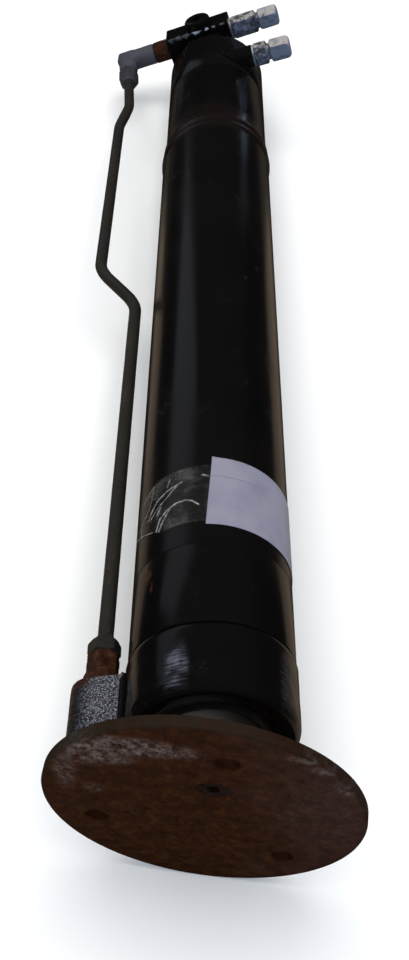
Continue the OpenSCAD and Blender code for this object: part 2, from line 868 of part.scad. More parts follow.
// Round plate with three bolt holes and a countersink for the stud screw
module foot_plate() {
    color(rusty) foot_frame() translate([0, 0, -foot_face]) difference() {
        rotate_extrude() polygon([
            [0, 0], [foot_r - 0.8, 0], [foot_r, 0.8], [foot_r, foot_t - 0.8],
            [foot_r - 0.8, foot_t], [0, foot_t]
        ]);
        translate(hole_centre) for (i = [0 : 2]) rotate([0, 0, hole_phase + i * 120]) {
            translate([foot_pcd / 2, 0, -1]) cylinder(d = foot_hole_d, h = foot_t + 2);
        }
        translate([screw_x, screw_y, -0.01]) cylinder(r1 = 12, r2 = 6.05, h = 6);
        translate([screw_x, screw_y, 1]) cylinder(r = 6.05, h = foot_t);
    }
}

// Countersunk screw, set below the face
module stud_screw() {
    color(steel) foot_frame() translate([screw_x, screw_y, 1.8 - foot_face]) difference() {
        rotate_extrude() polygon([[0, 0], [9.9, 0], [5.9, 4.1], [5.9, 12.8], [5, 13], [0, 13]]);
        translate([0, 0, -1]) cylinder(r = 4.6, h = 5, $fn = 6);
    }
}

lay() barrel_tube();
lay() closed_end_cap();
lay() cap_weld();
lay() valve_block();
lay() valve_block_weld();
lay() check_valve_cap();
lay() check_valve_oring();
lay() check_spring();
lay() check_poppet();
lay() upper_seal_washer();
lay() upper_adapter();
lay() upper_cap_nut();
lay() lower_port_boss();
lay() lower_boss_weld();
lay() lower_seal_washer();
lay() lower_adapter();
lay() lower_cap_nut();
lay() elbow_stud();
lay() elbow_fitting();
lay() elbow_nut();
lay() elbow_ferrule();
lay() steel_pipe();
lay() pipe_nut();
lay() pipe_ferrule();
lay() pipe_stud();
lay() gland_port_block();
lay() port_block_weld();
lay() gland_head();
lay() gland_oring();
lay() gland_backup_ring();
lay() rod_guide_rings();
lay() rod_seal();
lay() wiper_seal();
lay() paper_label();
lay() packing_tape();
lay() rod();
lay() piston();
lay() piston_seal();
lay() piston_wear_rings();
lay() piston_oring();
lay() piston_nut();
lay() ball_retaining_ring();
lay() ring_lock_screw();
lay() upper_ball_seat();
lay() lower_ball_seat();
lay() ball_stud();
lay() stud_weld();
lay() foot_plate();
lay() stud_screw();
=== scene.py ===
from math import atan2, ceil, cos, dist, exp, hypot, pi, radians, sin, sqrt, tan, tau

import bmesh
import bpy
from mathutils import Matrix, Vector, noise
from mathutils.geometry import delaunay_2d_cdt


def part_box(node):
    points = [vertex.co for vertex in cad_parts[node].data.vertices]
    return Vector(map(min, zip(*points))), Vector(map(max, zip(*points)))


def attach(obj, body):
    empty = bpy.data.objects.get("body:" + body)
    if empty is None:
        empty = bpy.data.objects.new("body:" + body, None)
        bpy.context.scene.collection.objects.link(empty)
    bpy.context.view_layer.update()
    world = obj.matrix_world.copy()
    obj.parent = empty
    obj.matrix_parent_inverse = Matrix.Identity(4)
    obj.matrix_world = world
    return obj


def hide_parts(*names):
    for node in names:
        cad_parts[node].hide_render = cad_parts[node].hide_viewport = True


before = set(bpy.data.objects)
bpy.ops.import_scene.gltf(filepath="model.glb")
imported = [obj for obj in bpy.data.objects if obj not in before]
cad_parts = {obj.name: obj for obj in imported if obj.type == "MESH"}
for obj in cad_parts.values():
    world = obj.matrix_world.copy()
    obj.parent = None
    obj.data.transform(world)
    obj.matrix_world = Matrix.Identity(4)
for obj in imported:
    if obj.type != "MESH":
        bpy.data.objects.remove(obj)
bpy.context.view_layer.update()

scene = bpy.context.scene

# Lengths are in millimetres, with the cylinder's axis along +Z as the part's design
# draws it, and its zero at the joint between gland and barrel. TO_ROW lays it down.
TO_ROW = Matrix.Scale(0.001, 4) @ Matrix(((1, 0, 0, 0), (0, 0, 1, 0), (0, -1, 0, 0), (0, 0, 0, 1)))

BARREL_R, BORE_R, ROD_R = 60.0, 50.0, 35.0
BARREL_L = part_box("barrel_tube")[1].y * 1000
CAP_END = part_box("closed_end_cap")[1].y * 1000
CAP_R = 58.0
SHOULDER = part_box("cap_weld")[1].y * 1000
GLAND_R, GLAND_END, SPIGOT = 61.0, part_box("gland_head")[0].y * 1000, 62.0

# How far the valve block and the side port are off the axis, and how far these two and the
# port block are turned about it, in degrees
OFFSET = 40.0
BLOCK_ANGLE, SIDE_ANGLE, PORT_ANGLE = -18.5, -16.0, -12.0
BLOCK_Z, SIDE_Z = CAP_END + 39, CAP_END - 53
BLOCK_LEFT, BLOCK_RIGHT, BLOCK_HALF = -50.5, 32.5, 17.0
VALVE_X, VALVE_CAP_R, VALVE_PLUG_R = -6.0, 16.5, 8.95
BOSS_R, BOSS_END = 13.0, 58.0
# Fittings: hexagons across flats, radii of threads, and lengths along their own axes
FITTING_HEX, PIPE_HEX, SOCKET_HEX = 24.0, 22.0, 10.0
THREAD_R, NUT_THREAD_R, THREAD_L, WASHER = 6.95, 8.9, 12.0, 2.0
UPPER_ADAPTER, LOWER_ADAPTER, ADAPTER_NECK, CAP_NUT = 32.0, 16.0, 3.5, 24.5
ELBOW_X, ELBOW_LEAN, ELBOW_STUD = -108.5, 4.0, 20.0
PIPE_R, PIPE_NUT_Z = 6.0, 26.0
PIPE_JOG_R, PIPE_SLOW_R = 24.0, 60.0
# Port block, with the oval nose on its outer side
PORT_X, PORT_HALF, PORT_TOP, PORT_BOTTOM = -81.5, 22.0, -6.0, -52.0
NOSE_X, NOSE_L = -86.0, 16.0
# Foot: ball centre, its distance to the plate's face, the plate, and its tilt as it hangs
BALL_Z, FOOT_FACE, FOOT_R, FOOT_T = -59.0, 46.0, 106.0, 8.0
TILT_SIDE, TILT_FORE = 7.1, 4.0
# Points round the barrel, the cap and the gland
ROUND = 192
# The gland's end is dished down to the wiper, and rounded at its edge
WIPER_Z = GLAND_END + 4
END_ROUND_L, END_ROUND_R = 10.0, 5.5


def turn(degrees, axis):
    return Matrix.Rotation(radians(degrees), 4, axis)


def shift(x, y, z):
    return Matrix.Translation((x, y, z))


def across(angle, z):
    """Frame of a cross bore: x along the bore, z along the cylinder."""
    return turn(angle, "Z") @ shift(0, -OFFSET, z)


def along_x(x):
    """Frame whose z runs along x, starting there."""
    return shift(x, 0, 0) @ turn(90, "Y")


AXIS = Matrix()
BLOCK = across(BLOCK_ANGLE, BLOCK_Z)
SIDE = across(SIDE_ANGLE, SIDE_Z)
LEG = BLOCK @ shift(ELBOW_X, 0, 0) @ turn(180 - ELBOW_LEAN, "Y")
PORT = turn(PORT_ANGLE, "Z")
STUD = PORT @ shift(PORT_X, 0, 0)
FOOT = shift(0, 0, BALL_Z) @ turn(TILT_SIDE, "Y") @ turn(TILT_FORE, "X")


# ---------------------------------------------------------------- materials

def put(socket, value):
    """Link a socket to another, or set it. A colour may leave out its alpha."""
    if isinstance(value, bpy.types.NodeSocket):
        socket.id_data.links.new(value, socket)
    elif socket.type == "RGBA" and len(value) == 3:
        socket.default_value = (*value, 1)
    else:
        socket.default_value = value


def new_node(tree, kind, inputs=None, **settings):
    """Shader node of that kind, with its inputs linked or set."""
    node = tree.nodes.new("ShaderNode" + kind)
    for key, value in settings.items():
        setattr(node, key, value)
    for key, value in (inputs or {}).items():
        put(node.inputs[key], value)
    return node


class Look:
    """A node material that is built from socket to socket."""

    def __init__(self, name):
        self.material = bpy.data.materials.new(name)
        self.material.use_nodes = True
        self.tree = self.material.node_tree
        self.shader = self.tree.nodes["Principled BSDF"]
        self.place = self.add("TexCoord").outputs["Object"]

    def add(self, kind, inputs=None, **settings):
        return new_node(self.tree, kind, inputs, **settings)

    def stretched(self, x, y, z):
        """Texture coordinates multiplied along each axis."""
        return self.add("Mapping", {"Vector": self.place, "Scale": (x, y, z)}).outputs[0]

    def noise(self, scale, detail=4.0, roughness=0.55, distortion=0.0, place=None):
        return self.add("TexNoise", {
            "Vector": place or self.place, "Scale": scale, "Detail": detail,
            "Roughness": roughness, "Distortion": distortion,
        }).outputs["Fac"]

    def cells(self, scale, smoothness):
        """Distance to the nearest of scattered points, with soft borders."""
        return self.add("TexVoronoi", {
            "Vector": self.place, "Scale": scale, "Smoothness": smoothness,
        }, feature="SMOOTH_F1").outputs["Distance"]

    def math(self, operation, a, b=0.0, clamp=False):
        return self.add("Math", {0: a, 1: b}, operation=operation, use_clamp=clamp).outputs[0]

    def times(self, a, b):
        return self.math("MULTIPLY", a, b)

    def plus(self, a, b, clamp=False):
        return self.math("ADD", a, b, clamp)

    def minus(self, a, b, clamp=False):
        return self.math("SUBTRACT", a, b, clamp)

    def wander(self, noise, reach):
        """A noise that swings about 0, by reach from its lowest to its highest."""
        return self.times(self.minus(noise, 0.5), reach)

    def band(self, value, low, high, soft):
        """1 between low and high, falling to 0 over soft."""
        rise = self.between(value, low - soft, low)
        fall = self.between(value, high, high + soft)
        return self.minus(rise, fall, clamp=True)

    def between(self, value, low, high, to_low=0.0, to_high=1.0):
        return self.add("MapRange", {
            "Value": value, "From Min": low, "From Max": high, "To Min": to_low, "To Max": to_high,
        }, interpolation_type="SMOOTHSTEP").outputs[0]

    def ramp(self, value, *stops):
        node = self.add("ValToRGB", {"Fac": value})
        points = node.color_ramp.elements
        while len(points) < len(stops):
            points.new(0.5)
        for point, (position, colour) in zip(points, stops):
            point.position = position
            point.color = (*colour, 1)
        return node.outputs["Color"]

    def mix(self, factor, a, b):
        return self.add("Mix", {"Factor": factor, 6: a, 7: b}, data_type="RGBA").outputs[2]

    def bump(self, height, depth_mm, strength):
        return self.add("Bump", {
            "Height": height, "Distance": depth_mm / 1000, "Strength": strength,
        }).outputs["Normal"]

    def rough(self, noise, low, high):
        """Roughness that varies with a noise."""
        return self.between(noise, 0.3, 0.7, low, high)

    def vector(self, operation, a, b=(0, 0, 0)):
        return self.add("VectorMath", {0: a, 1: b}, operation=operation).outputs

    def xyz(self, place=None):
        return self.add("SeparateXYZ", {"Vector": place or self.place}).outputs

    def round_axis(self):
        """(arc, length) on the barrel's wall, in metres: arc is 0 on top."""
        x, y, z = self.xyz()
        return self.times(self.math("ARCTAN2", x, z), BARREL_R / 1000), y

    def finish(self, colour, roughness, bump=None, gloss=0.5, metallic=0.0, alpha=1.0):
        """The finished material. bump is (height, depth in mm, strength)."""
        values = {"Base Color": colour, "Roughness": roughness, "Specular IOR Level": gloss,
                  "Metallic": metallic, "Alpha": alpha}
        for name, value in values.items():
            put(self.shader.inputs[name], value)
        if bump:
            put(self.shader.inputs["Normal"], self.bump(*bump))
        return self.material


RUST_DARK, RUST, RUST_PALE = (0.012, 0.005, 0.003), (0.045, 0.014, 0.006), (0.12, 0.045, 0.018)
ENAMEL_BLUE, ENAMEL_BROWN, ENAMEL_GLOSS = (0.0012, 0.0012, 0.0018), (0.0034, 0.0027, 0.0024), 0.42


def gloss_paint(name, sheen_patches=(), chips=()):
    """Black enamel: a thin brown-black and blue-black play, dust, small chips to rust.
    sheen_patches lists (arc, length, half arc, half length, strength) in mm where a painted
    bluish-grey reflection streaks rougher paint, and chips lists (arc, length, radius) in mm where it has
    flaked to rust."""
    look = Look(name)
    arc, length = look.round_axis()
    wide = look.noise(9, 3)
    fine = look.noise(420, 5, 0.65)
    colour = look.mix(wide, ENAMEL_BLUE, ENAMEL_BROWN)
    dust = look.between(look.noise(34, 8, 0.7), 0.55, 0.78)
    dust = look.times(dust, look.between(fine, 0.42, 0.62))
    colour = look.mix(look.times(dust, 0.22), colour, (0.040, 0.036, 0.034))
    baked = look.times(look.band(length, 0.700, 0.738, 0.016), look.noise(50, 4))
    colour = look.mix(baked, colour, (0.0100, 0.0052, 0.0044))
    torn = look.wander(look.noise(240, 4, 0.7), 0.010)
    for at_arc, at_length, reach in chips:
        off = look.minus(arc, at_arc / 1000)
        up = look.times(look.minus(length, at_length / 1000), 0.55)
        far = look.math("SQRT", look.plus(look.times(off, off), look.times(up, up)))
        bare = look.between(look.plus(far, torn), reach / 1000, reach / 1600, 0.0, 0.9)
        colour = look.mix(bare, colour, look.mix(fine, RUST_DARK, (0.070, 0.026, 0.012)))
    rough = look.rough(wide, 0.15, 0.25)
    rough = look.plus(rough, look.times(dust, 0.25))
    peel = look.plus(look.noise(520, 2, 0.4), look.times(look.noise(60, 2), 1.4))
    # Painted reflection: each patch is a streaked bluish-grey sheen, on paint made rougher there.
    for at_arc, at_length, half_arc, half_length, strength in sheen_patches:
        inside = look.band(arc, (at_arc - half_arc) / 1000, (at_arc + half_arc) / 1000, 0.007)
        inside = look.times(inside, look.band(
            length, (at_length - half_length) / 1000, (at_length + half_length) / 1000, 0.009))
        streaks = look.add("CombineXYZ", {
            "X": look.times(arc, 90), "Y": look.times(length, 620),
        }).outputs[0]
        grain = look.noise(1.0, 6, 0.72, place=streaks)
        painted_sheen = look.times(inside, look.between(grain, 0.40, 0.64))
        painted_sheen = look.times(painted_sheen, look.between(look.noise(70, 3), 0.35, 0.6, 0.2, 1.0))
        colour = look.mix(look.times(painted_sheen, strength), colour, (0.150, 0.165, 0.215))
        rough = look.plus(rough, look.times(painted_sheen, 0.3))
        peel = look.plus(peel, look.times(look.times(grain, inside), 3.0))
    return look.finish(colour, rough, (peel, 0.10, 0.35), ENAMEL_GLOSS)


def enamel_wear_and_glints(name, marks):
    """Black enamel with bright bluish-grey marks, bare-metal wear and painted glints, round each of marks:
    (place, radius mm, share).
    """
    look = Look(name)
    grain = look.noise(330, 6, 0.7)
    colour = look.mix(look.noise(30, 4), ENAMEL_BLUE, ENAMEL_BROWN)
    for place, radius, share in marks:
        away = look.vector("DISTANCE", look.place, tuple(place))["Value"]
        far = look.plus(away, look.wander(grain, radius / 320))
        bare = look.between(far, radius / 1000, radius / 2200, 0.0, share)
        # Painted glints and bare-metal wear: each mark is painted bluish-grey.
        colour = look.mix(bare, colour, (0.340, 0.390, 0.480))
    rough = look.between(grain, 0.35, 0.7, 0.14, 0.26)
    return look.finish(colour, rough, (grain, 0.10, 0.5), ENAMEL_GLOSS)


def hammered_paint():
    """Blue-black hammered enamel: its pits are painted as bright glints, and its rounded nose is painted in
    shade.
    """
    look = Look("hammered_enamel")
    cells = look.cells(760, 0.5)
    fine = look.noise(1300, 3, 0.6)
    # Painted glints: the pale tones of the pits stand in for light on the hammered beads.
    colour = look.ramp(cells, (0.08, (0.350, 0.355, 0.405)), (0.36, (0.100, 0.102, 0.122)),
                       (0.66, (0.020, 0.020, 0.025)))
    x, y, _ = look.xyz()
    # Painted shade: towards low x, on the rounded nose, the coat is painted near-black.
    shaded = look.between(look.plus(x, look.times(look.noise(60, 3), 0.004)),
                          -0.0945, -0.0800, 1.0, 0.0)
    colour = look.mix(shaded, colour, (0.0030, 0.0028, 0.0030))
    ragged = look.wander(look.noise(90, 5, 0.7), 0.012)
    rusty = look.times(look.between(look.plus(y, ragged), -0.016, -0.011),
                      look.between(look.plus(x, ragged), -0.084, -0.090))
    colour = look.mix(look.times(rusty, 0.9), colour, look.mix(fine, RUST_DARK, RUST))
    height = look.plus(cells, look.times(fine, 0.25))
    return look.finish(colour, look.rough(fine, 0.20, 0.38), (height, 0.9, 0.8))


def pipe_paint(name, bluish=0.0, rust_from=0.60):
    """Thin olive-black paint on steel, with rust that shows through."""
    look = Look(name)
    fine = look.noise(300, 6, 0.7)
    broad = look.noise(28, 4, 0.6)
    colour = look.mix(broad, (0.0115, 0.0105, 0.0085), (0.0260, 0.0235, 0.0195))
    tint = look.mix(broad, (0.036, 0.042, 0.072), (0.112, 0.114, 0.140))
    colour = look.mix(bluish, colour, tint)
    rusty = look.between(look.noise(75, 7, 0.72), rust_from, rust_from + 0.09)
    colour = look.mix(rusty, colour, look.mix(fine, RUST_DARK, RUST))
    pale = look.between(look.noise(210, 5, 0.7), 0.60, 0.70)
    colour = look.mix(look.times(pale, 0.35), colour, (0.075, 0.070, 0.062))
    rough = look.plus(look.rough(fine, 0.36, 0.52), look.times(rusty, 0.3))
    height = look.plus(look.times(fine, 0.5), look.times(rusty, 0.5))
    return look.finish(colour, rough, (height, 0.18, 0.7), gloss=0.45)


def rust(name, light=1.0):
    """Thick rust in browns and reds, flaky."""
    look = Look(name)
    flakes = look.noise(160, 8, 0.72, 0.4)
    grain = look.noise(900, 4, 0.6)
    dark, middle, pale = [tuple(light * c for c in tone) for tone in (RUST_DARK, RUST, RUST_PALE)]
    colour = look.ramp(flakes, (0.30, dark), (0.52, middle), (0.72, pale))
    height = look.plus(flakes, look.times(grain, 0.35))
    return look.finish(colour, look.rough(grain, 0.75, 0.95), (height, 0.45, 0.9), gloss=0.25)


def plate_rust():
    """Face of the foot plate: even red-brown rust, olive paint left at the rim,
    whitish scrapes near two edges, greyer rust towards +X, and painted shade in the holes."""
    look = Look("plate_rust")
    flakes = look.noise(120, 10, 0.80, 0.1)
    broad = look.noise(14, 4, 0.6)
    grain = look.noise(700, 5, 0.65)
    x, _, z = look.xyz()
    colour = look.ramp(flakes, (0.30, (0.0105, 0.0032, 0.0009)), (0.50, (0.0275, 0.0078, 0.0016)),
                       (0.72, (0.0600, 0.0180, 0.0036)))
    # Greyer, less orange rust towards +X.
    toward_plus_x = look.plus(x, look.wander(broad, 0.16))
    colour = look.mix(look.between(toward_plus_x, 0.0, 0.085, 0.0, 0.8), colour,
                      look.ramp(flakes, (0.30, (0.0165, 0.0066, 0.0044)), (0.70, (0.0500, 0.0215, 0.0145))))
    flat = look.add("CombineXYZ", {"X": x, "Z": z}).outputs[0]

    def patch(cx, cz, rx, rz, soft=0.5):
        """1 inside an ellipse on the face, in mm, with a torn edge."""
        away = look.vector("SUBTRACT", flat, (cx / 1000, 0, cz / 1000))[0]
        away = look.vector("MULTIPLY", away, (1000 / rx, 0, 1000 / rz))[0]
        torn = look.plus(look.vector("LENGTH", away)["Value"], look.times(look.noise(48, 5, 0.7), 1.1))
        return look.between(torn, 0.7 + soft, 1.75 + soft, 1.0, 0.0)

    # Painted shade: the bolt holes and the screw are darkened.
    for cx, cz in SHADED_HOLES:
        hole = patch(cx, cz, 8.5, 8.5, 0.0)
        colour = look.mix(look.times(hole, 0.88), colour, (0.0060, 0.0022, 0.0012))
    speckle = look.between(look.noise(190, 10, 0.85), 0.42, 0.66)
    for cx, cz, rx, rz, amount in SCRAPES:
        mark = look.times(patch(cx, cz, rx, rz), speckle)
        colour = look.mix(look.times(mark, amount), colour, (0.185, 0.155, 0.145))
    radius = look.vector("DISTANCE", flat, (FOOT_CENTRE.x, 0, FOOT_CENTRE.z))["Value"]
    edge = look.between(look.plus(radius, look.times(look.noise(40, 5, 0.7), 0.012)), 0.1075, 0.1125)
    rim = look.mix(look.between(x, 0.0, 0.06), (0.0150, 0.0125, 0.0085), (0.0125, 0.0062, 0.0030))
    colour = look.mix(look.times(edge, 0.8), colour, rim)
    height = look.plus(flakes, look.times(grain, 0.3))
    return look.finish(colour, look.rough(grain, 0.62, 0.85), (height, 0.55, 0.8), gloss=0.05)


def zinc(name, dirt):
    """Zinc plate, dulled and finely scratched, with a painted reflection: pale and warm on faces that point
    up, blue on the others. dirt is its share of grime.
    """
    look = Look(name)
    broad = look.noise(85, 5, 0.65)
    fine = look.noise(380, 6, 0.7)
    _, _, up = look.xyz(look.add("TexCoord").outputs["Normal"])
    # Painted reflection: faces pointing up are painted pale and warm, the others blue.
    facing_up = look.plus(up, look.wander(broad, 1.4))
    colour = look.mix(look.between(facing_up, 0.35, 0.95), (0.130, 0.170, 0.265), (0.520, 0.480, 0.460))
    colour = look.mix(look.between(fine, 0.55, 0.75), colour, (0.095, 0.095, 0.110))
    grime = look.between(look.noise(130, 7, 0.75), 0.62 - 0.4 * dirt, 0.78 - 0.4 * dirt)
    colour = look.mix(look.times(grime, 0.9), colour, (0.022, 0.023, 0.030))
    lines = look.noise(1.0, 3, 0.5, place=look.stretched(2600, 300, 300))
    height = look.plus(fine, look.times(lines, 0.4))
    return look.finish(colour, look.rough(fine, 0.28, 0.44), (height, 0.06, 0.6), metallic=0.35)


def bare_metal(name, colour, spread, roughness, turned=0.0, stain=0.0, metallic=1.0, film=0.0):
    """Machined metal: fine turning lines round the axis and uneven staining. film is how
    strongly painted shade, tinted brown, darkens its +X side near the foot end."""
    look = Look(name)
    broad = look.noise(38, 5, 0.65)
    shade = look.mix(broad, colour, tuple(c * spread for c in colour))
    shade = look.mix(look.times(look.between(look.noise(120, 6, 0.7), 0.5, 0.75), stain),
                     shade, (0.085, 0.050, 0.025))
    if film:
        # Painted shade: darker and browner towards +X near the foot end.
        x, y, _ = look.xyz()
        shaded_side = look.times(look.between(x, -0.030, 0.024), look.between(y, -0.030, -0.045))
        shade = look.mix(look.times(shaded_side, film), shade, (0.030, 0.022, 0.013))
    lines = look.noise(1.0, 2, 0.5, place=look.stretched(15, 2400, 15))
    rough = look.rough(broad, roughness, roughness * 1.5)
    return look.finish(shade, rough, (lines, 0.03, turned), metallic=metallic)


def plastic(name, colour, roughness):
    """Seals and guide rings: a matt moulded grain."""
    look = Look(name)
    grain = look.noise(650, 4, 0.6)
    shade = look.mix(look.between(grain, 0.3, 0.7), colour, tuple(c * 0.6 for c in colour))
    return look.finish(shade, look.rough(grain, roughness, roughness + 0.15), (grain, 0.05, 0.5))


def paper():
    """Lilac-white paper with a faint fibre, a ruled line, and an ink-stained far edge."""
    look = Look("paper")
    arc, length = look.round_axis()
    slant = look.plus(length, look.times(arc, tan(radians(LABEL_TURN))))
    fibre = look.noise(1100, 5, 0.7)
    blotch = look.noise(22, 4, 0.6)
    colour = look.mix(look.between(blotch, 0.35, 0.62), (0.178, 0.179, 0.245), (0.228, 0.223, 0.285))
    colour = look.mix(look.between(fibre, 0.35, 0.75, 0.0, 0.25), colour, (0.180, 0.180, 0.230))
    line = look.band(slant, LABEL_RULE / 1000 - 0.0003, LABEL_RULE / 1000 + 0.0003, 0.0002)
    line = look.times(line, look.between(arc, 0.052, 0.030))
    colour = look.mix(look.times(line, 0.55), colour, (0.090, 0.090, 0.120))
    smear = look.times(look.between(arc, 0.066, 0.082), look.noise(60, 4, 0.7))
    colour = look.mix(look.times(smear, 0.5), colour, (0.220, 0.110, 0.130))
    height = look.plus(look.times(fibre, 0.3), blotch)
    return look.finish(colour, 0.62, (height, 0.12, 0.5), gloss=0.35)


def clear_tape():
    """Clear packing tape: milky where it has lifted or creased, else nearly unseen."""
    look = Look("clear_tape")
    crease = look.add("Attribute", attribute_name="crease").outputs["Fac"]
    haze = look.noise(38, 8, 0.7)
    fine = look.noise(420, 5, 0.7)
    cloud = look.times(look.between(haze, 0.46, 0.70), look.between(fine, 0.3, 0.62, 0.5, 1.0))
    seen = look.plus(look.times(cloud, 0.24), 0.020)
    seen = look.plus(seen, look.times(crease, 0.62), clamp=True)
    colour = look.mix(crease, (0.150, 0.145, 0.140), (0.480, 0.480, 0.500))
    height = look.plus(haze, fine)
    return look.finish(colour, look.rough(fine, 0.12, 0.30), (height, 0.25, 0.6), gloss=0.4, alpha=seen)


# Foot plate's outer face, in the row frame (metres)
FOOT_CENTRE = TO_ROW @ FOOT @ Vector((0, 0, -FOOT_FACE))
# Bolt holes and the middle screw on the face, (x, z) in mm: painted shade darkens each
SHADED_HOLES = ((10.5, 61.5), (-77, -32), (48.5, -59.5), (2, 23.5))
# Scrapes on the face: (x, z) of the centre in mm, half sizes and strength
SCRAPES = (
    (-50, 70, 32, 9, 0.72), (-78, 56, 13, 12, 0.55), (-93, 30, 6, 18, 0.40), (-62, 52, 11, 6, 0.50),
    (58, 79, 9, 4, 0.60), (71, 68, 9, 5, 0.65), (82, 50, 6, 10, 0.45), (66, 8, 30, 36, 0.06),
    (-76, 11, 6, 5, 0.35),
)
# Bare-metal wear and painted glints on the valve block's front edge: (x along the block, radius, share)
BLOCK_WEAR_AND_GLINTS = ((-11, 4.8, 0.8), (-6, 3.2, 0.7), (5, 3.2, 0.75), (14, 2.6, 0.30), (-23, 5.0, 0.14),
              (-34, 5.5, 0.14), (-43, 5.0, 0.10), (25, 3.5, 0.14))
# Flakes of lost paint on the barrel: (arc, length, radius) in mm
CHIPS = ((-53, 57, 3.6), (-57, 67, 2.0), (-49, 44, 1.6), (30, 410, 1.2))
# Painted reflection on the gland, streaked round it, on rougher paint: (arc, length, half arc, half length)
# in mm and strength
GLAND_SHEEN = ((-24, -38, 3.5, 9, 0.62), (-22, -28, 1, 3, 0.5), (58, -30, 3, 18, 0.10))
# How far the label is turned on the barrel, in degrees, and where its ruled line is, in mm
LABEL_TURN, LABEL_RULE = 3.5, 138.5

BLACK = gloss_paint("black_enamel", chips=CHIPS)
GLAND_PAINT = gloss_paint("gland_enamel", sheen_patches=GLAND_SHEEN)
BLOCK_EDGE = TO_ROW @ BLOCK @ shift(0, -BLOCK_HALF, -BLOCK_HALF)
BLOCK_PAINT = enamel_wear_and_glints("block_enamel", [(BLOCK_EDGE @ Vector((x, 0, 0)), r, share)
                                           for x, r, share in BLOCK_WEAR_AND_GLINTS])
HAMMERED = hammered_paint()
PIPE_PAINT = pipe_paint("pipe_paint")
ELBOW_PAINT = pipe_paint("elbow_paint", bluish=0.62, rust_from=0.60)
NUT_PAINT = pipe_paint("nut_paint", bluish=0.30, rust_from=0.66)
STUD_RUST = rust("stud_rust", 0.70)
SCREW_RUST = rust("screw_rust", 0.32)
PLATE = plate_rust()
ZINC = zinc("zinc_plate", 0.25)
DULL_ZINC = zinc("dull_zinc", 0.55)
CHROME = bare_metal("hard_chrome", (0.54, 0.52, 0.49), 0.80, 0.16, turned=0.1,
                    stain=0.15, metallic=0.78, film=0.92)
STEEL = bare_metal("machined_steel", (0.30, 0.30, 0.31), 0.70, 0.28, turned=0.6, stain=0.3)
STUD_STEEL = bare_metal("stud_steel", (0.26, 0.25, 0.24), 0.60, 0.34, turned=0.5, stain=0.9)
BRONZE = bare_metal("bearing_bronze", (0.42, 0.27, 0.11), 0.75, 0.25, turned=0.5)
RUBBER = plastic("black_rubber", (0.012, 0.012, 0.013), 0.55)
NYLON = plastic("guide_nylon", (0.030, 0.085, 0.190), 0.42)
PAPER = paper()
TAPE = clear_tape()


# ------------------------------------------------------------------- meshes

def new_object(name, data):
    thing = bpy.data.objects.new(name, data)
    scene.collection.objects.link(thing)
    return thing


def piece(name, shape, at, material, nodes, body="barrel", sharp=32.0):
    """A mesh piece from (vertices, faces) in the frame at, that stands for those CAD nodes."""
    verts, faces = shape
    place = TO_ROW @ at
    mesh = bpy.data.meshes.new(name)
    mesh.from_pydata([place @ Vector(v) for v in verts], [], faces)
    work = bmesh.new()
    work.from_mesh(mesh)
    bmesh.ops.remove_doubles(work, verts=work.verts, dist=1e-6)
    bmesh.ops.recalc_face_normals(work, faces=work.faces)
    work.to_mesh(mesh)
    work.free()
    mesh.shade_smooth()
    mesh.set_sharp_from_angle(angle=radians(sharp))
    mesh.materials.append(material)
    thing = new_object(name, mesh)
    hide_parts(*nodes)
    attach(thing, body)
    return thing


def around(reach, z, columns):
    """Points round the axis at height z. reach is a radius, or a function of the angle."""
    out = []
    for angle in (tau * j / columns for j in range(columns)):
        r = reach(angle) if callable(reach) else reach
        out.append((r * cos(angle), r * sin(angle), z))
    return out


def quarter(count):
    """Angles from 0 to a right angle in that many steps."""
    return [pi * k / (2 * count) for k in range(count + 1)]


def rings(rows, closed=False):
    """Faces between rows of equal length that each close on themselves."""
    n = len(rows[0])
    verts = [v for row in rows for v in row]
    count = len(rows) if closed else len(rows) - 1
    faces = [
        (k * n + j, k * n + (j + 1) % n, (k + 1) % len(rows) * n + (j + 1) % n, (k + 1) % len(rows) * n + j)
        for k in range(count) for j in range(n)
    ]
    return verts, faces


def capped(rows):
    """Rings with a fan over each end."""
    verts, faces = rings(rows)
    n = len(rows[0])
    for first, row in ((0, rows[0]), (len(verts) - n, rows[-1])):
        middle = sum((Vector(v) for v in row), Vector()) / n
        verts.append(tuple(middle))
        faces += [(first + j, first + (j + 1) % n, len(verts) - 1) for j in range(n)]
    return verts, faces


def turned_bar(profile, columns):
    """Closed round bar through circles of (radius, z)."""
    return capped([around(r, z, columns) for r, z in profile])


def joined(*shapes):
    verts, faces = [], []
    for more_verts, more_faces in shapes:
        faces += [tuple(i + len(verts) for i in face) for face in more_faces]
        verts += more_verts
    return verts, faces


def moved(shape, at):
    return [tuple(at @ Vector(v)) for v in shape[0]], shape[1]


def lathe(profile, columns, swell=lambda a, r, z: 0.0):
    """Solid of revolution of a closed profile of (radius, z). swell(angle, r, z) adds to r."""
    return rings([around(lambda a, r=r, z=z: r + swell(a, r, z), z, columns) for r, z in profile], True)


def divided(points, step):
    """The same outline with extra points, so that none are further apart than step."""
    out = []
    for a, b in zip(points, points[1:] + points[:1]):
        parts = max(1, ceil(dist(a, b) / step))
        out += [tuple(p + (q - p) * k / parts for p, q in zip(a, b)) for k in range(parts)]
    return out


def steps(low, high, step):
    """Even steps from low to high, none longer than step."""
    parts = max(1, ceil((high - low) / step))
    return [low + (high - low) * k / parts for k in range(parts + 1)]


def limit(points, z):
    """Radius on a line through (z, radius) points."""
    for (z0, r0), (z1, r1) in zip(points, points[1:]):
        if z <= z1:
            return r0 + (r1 - r0) * (z - z0) / (z1 - z0)
    return points[-1][1]


# The higher these powers are, the sharper is the edge where two outlines meet
TURNED_EDGE, HEX_EDGE = 70, 60


def softer(a, b):
    """The smaller of two radii, with the corner between them rounded."""
    return (a ** -TURNED_EDGE + b ** -TURNED_EDGE) ** (-1 / TURNED_EDGE)


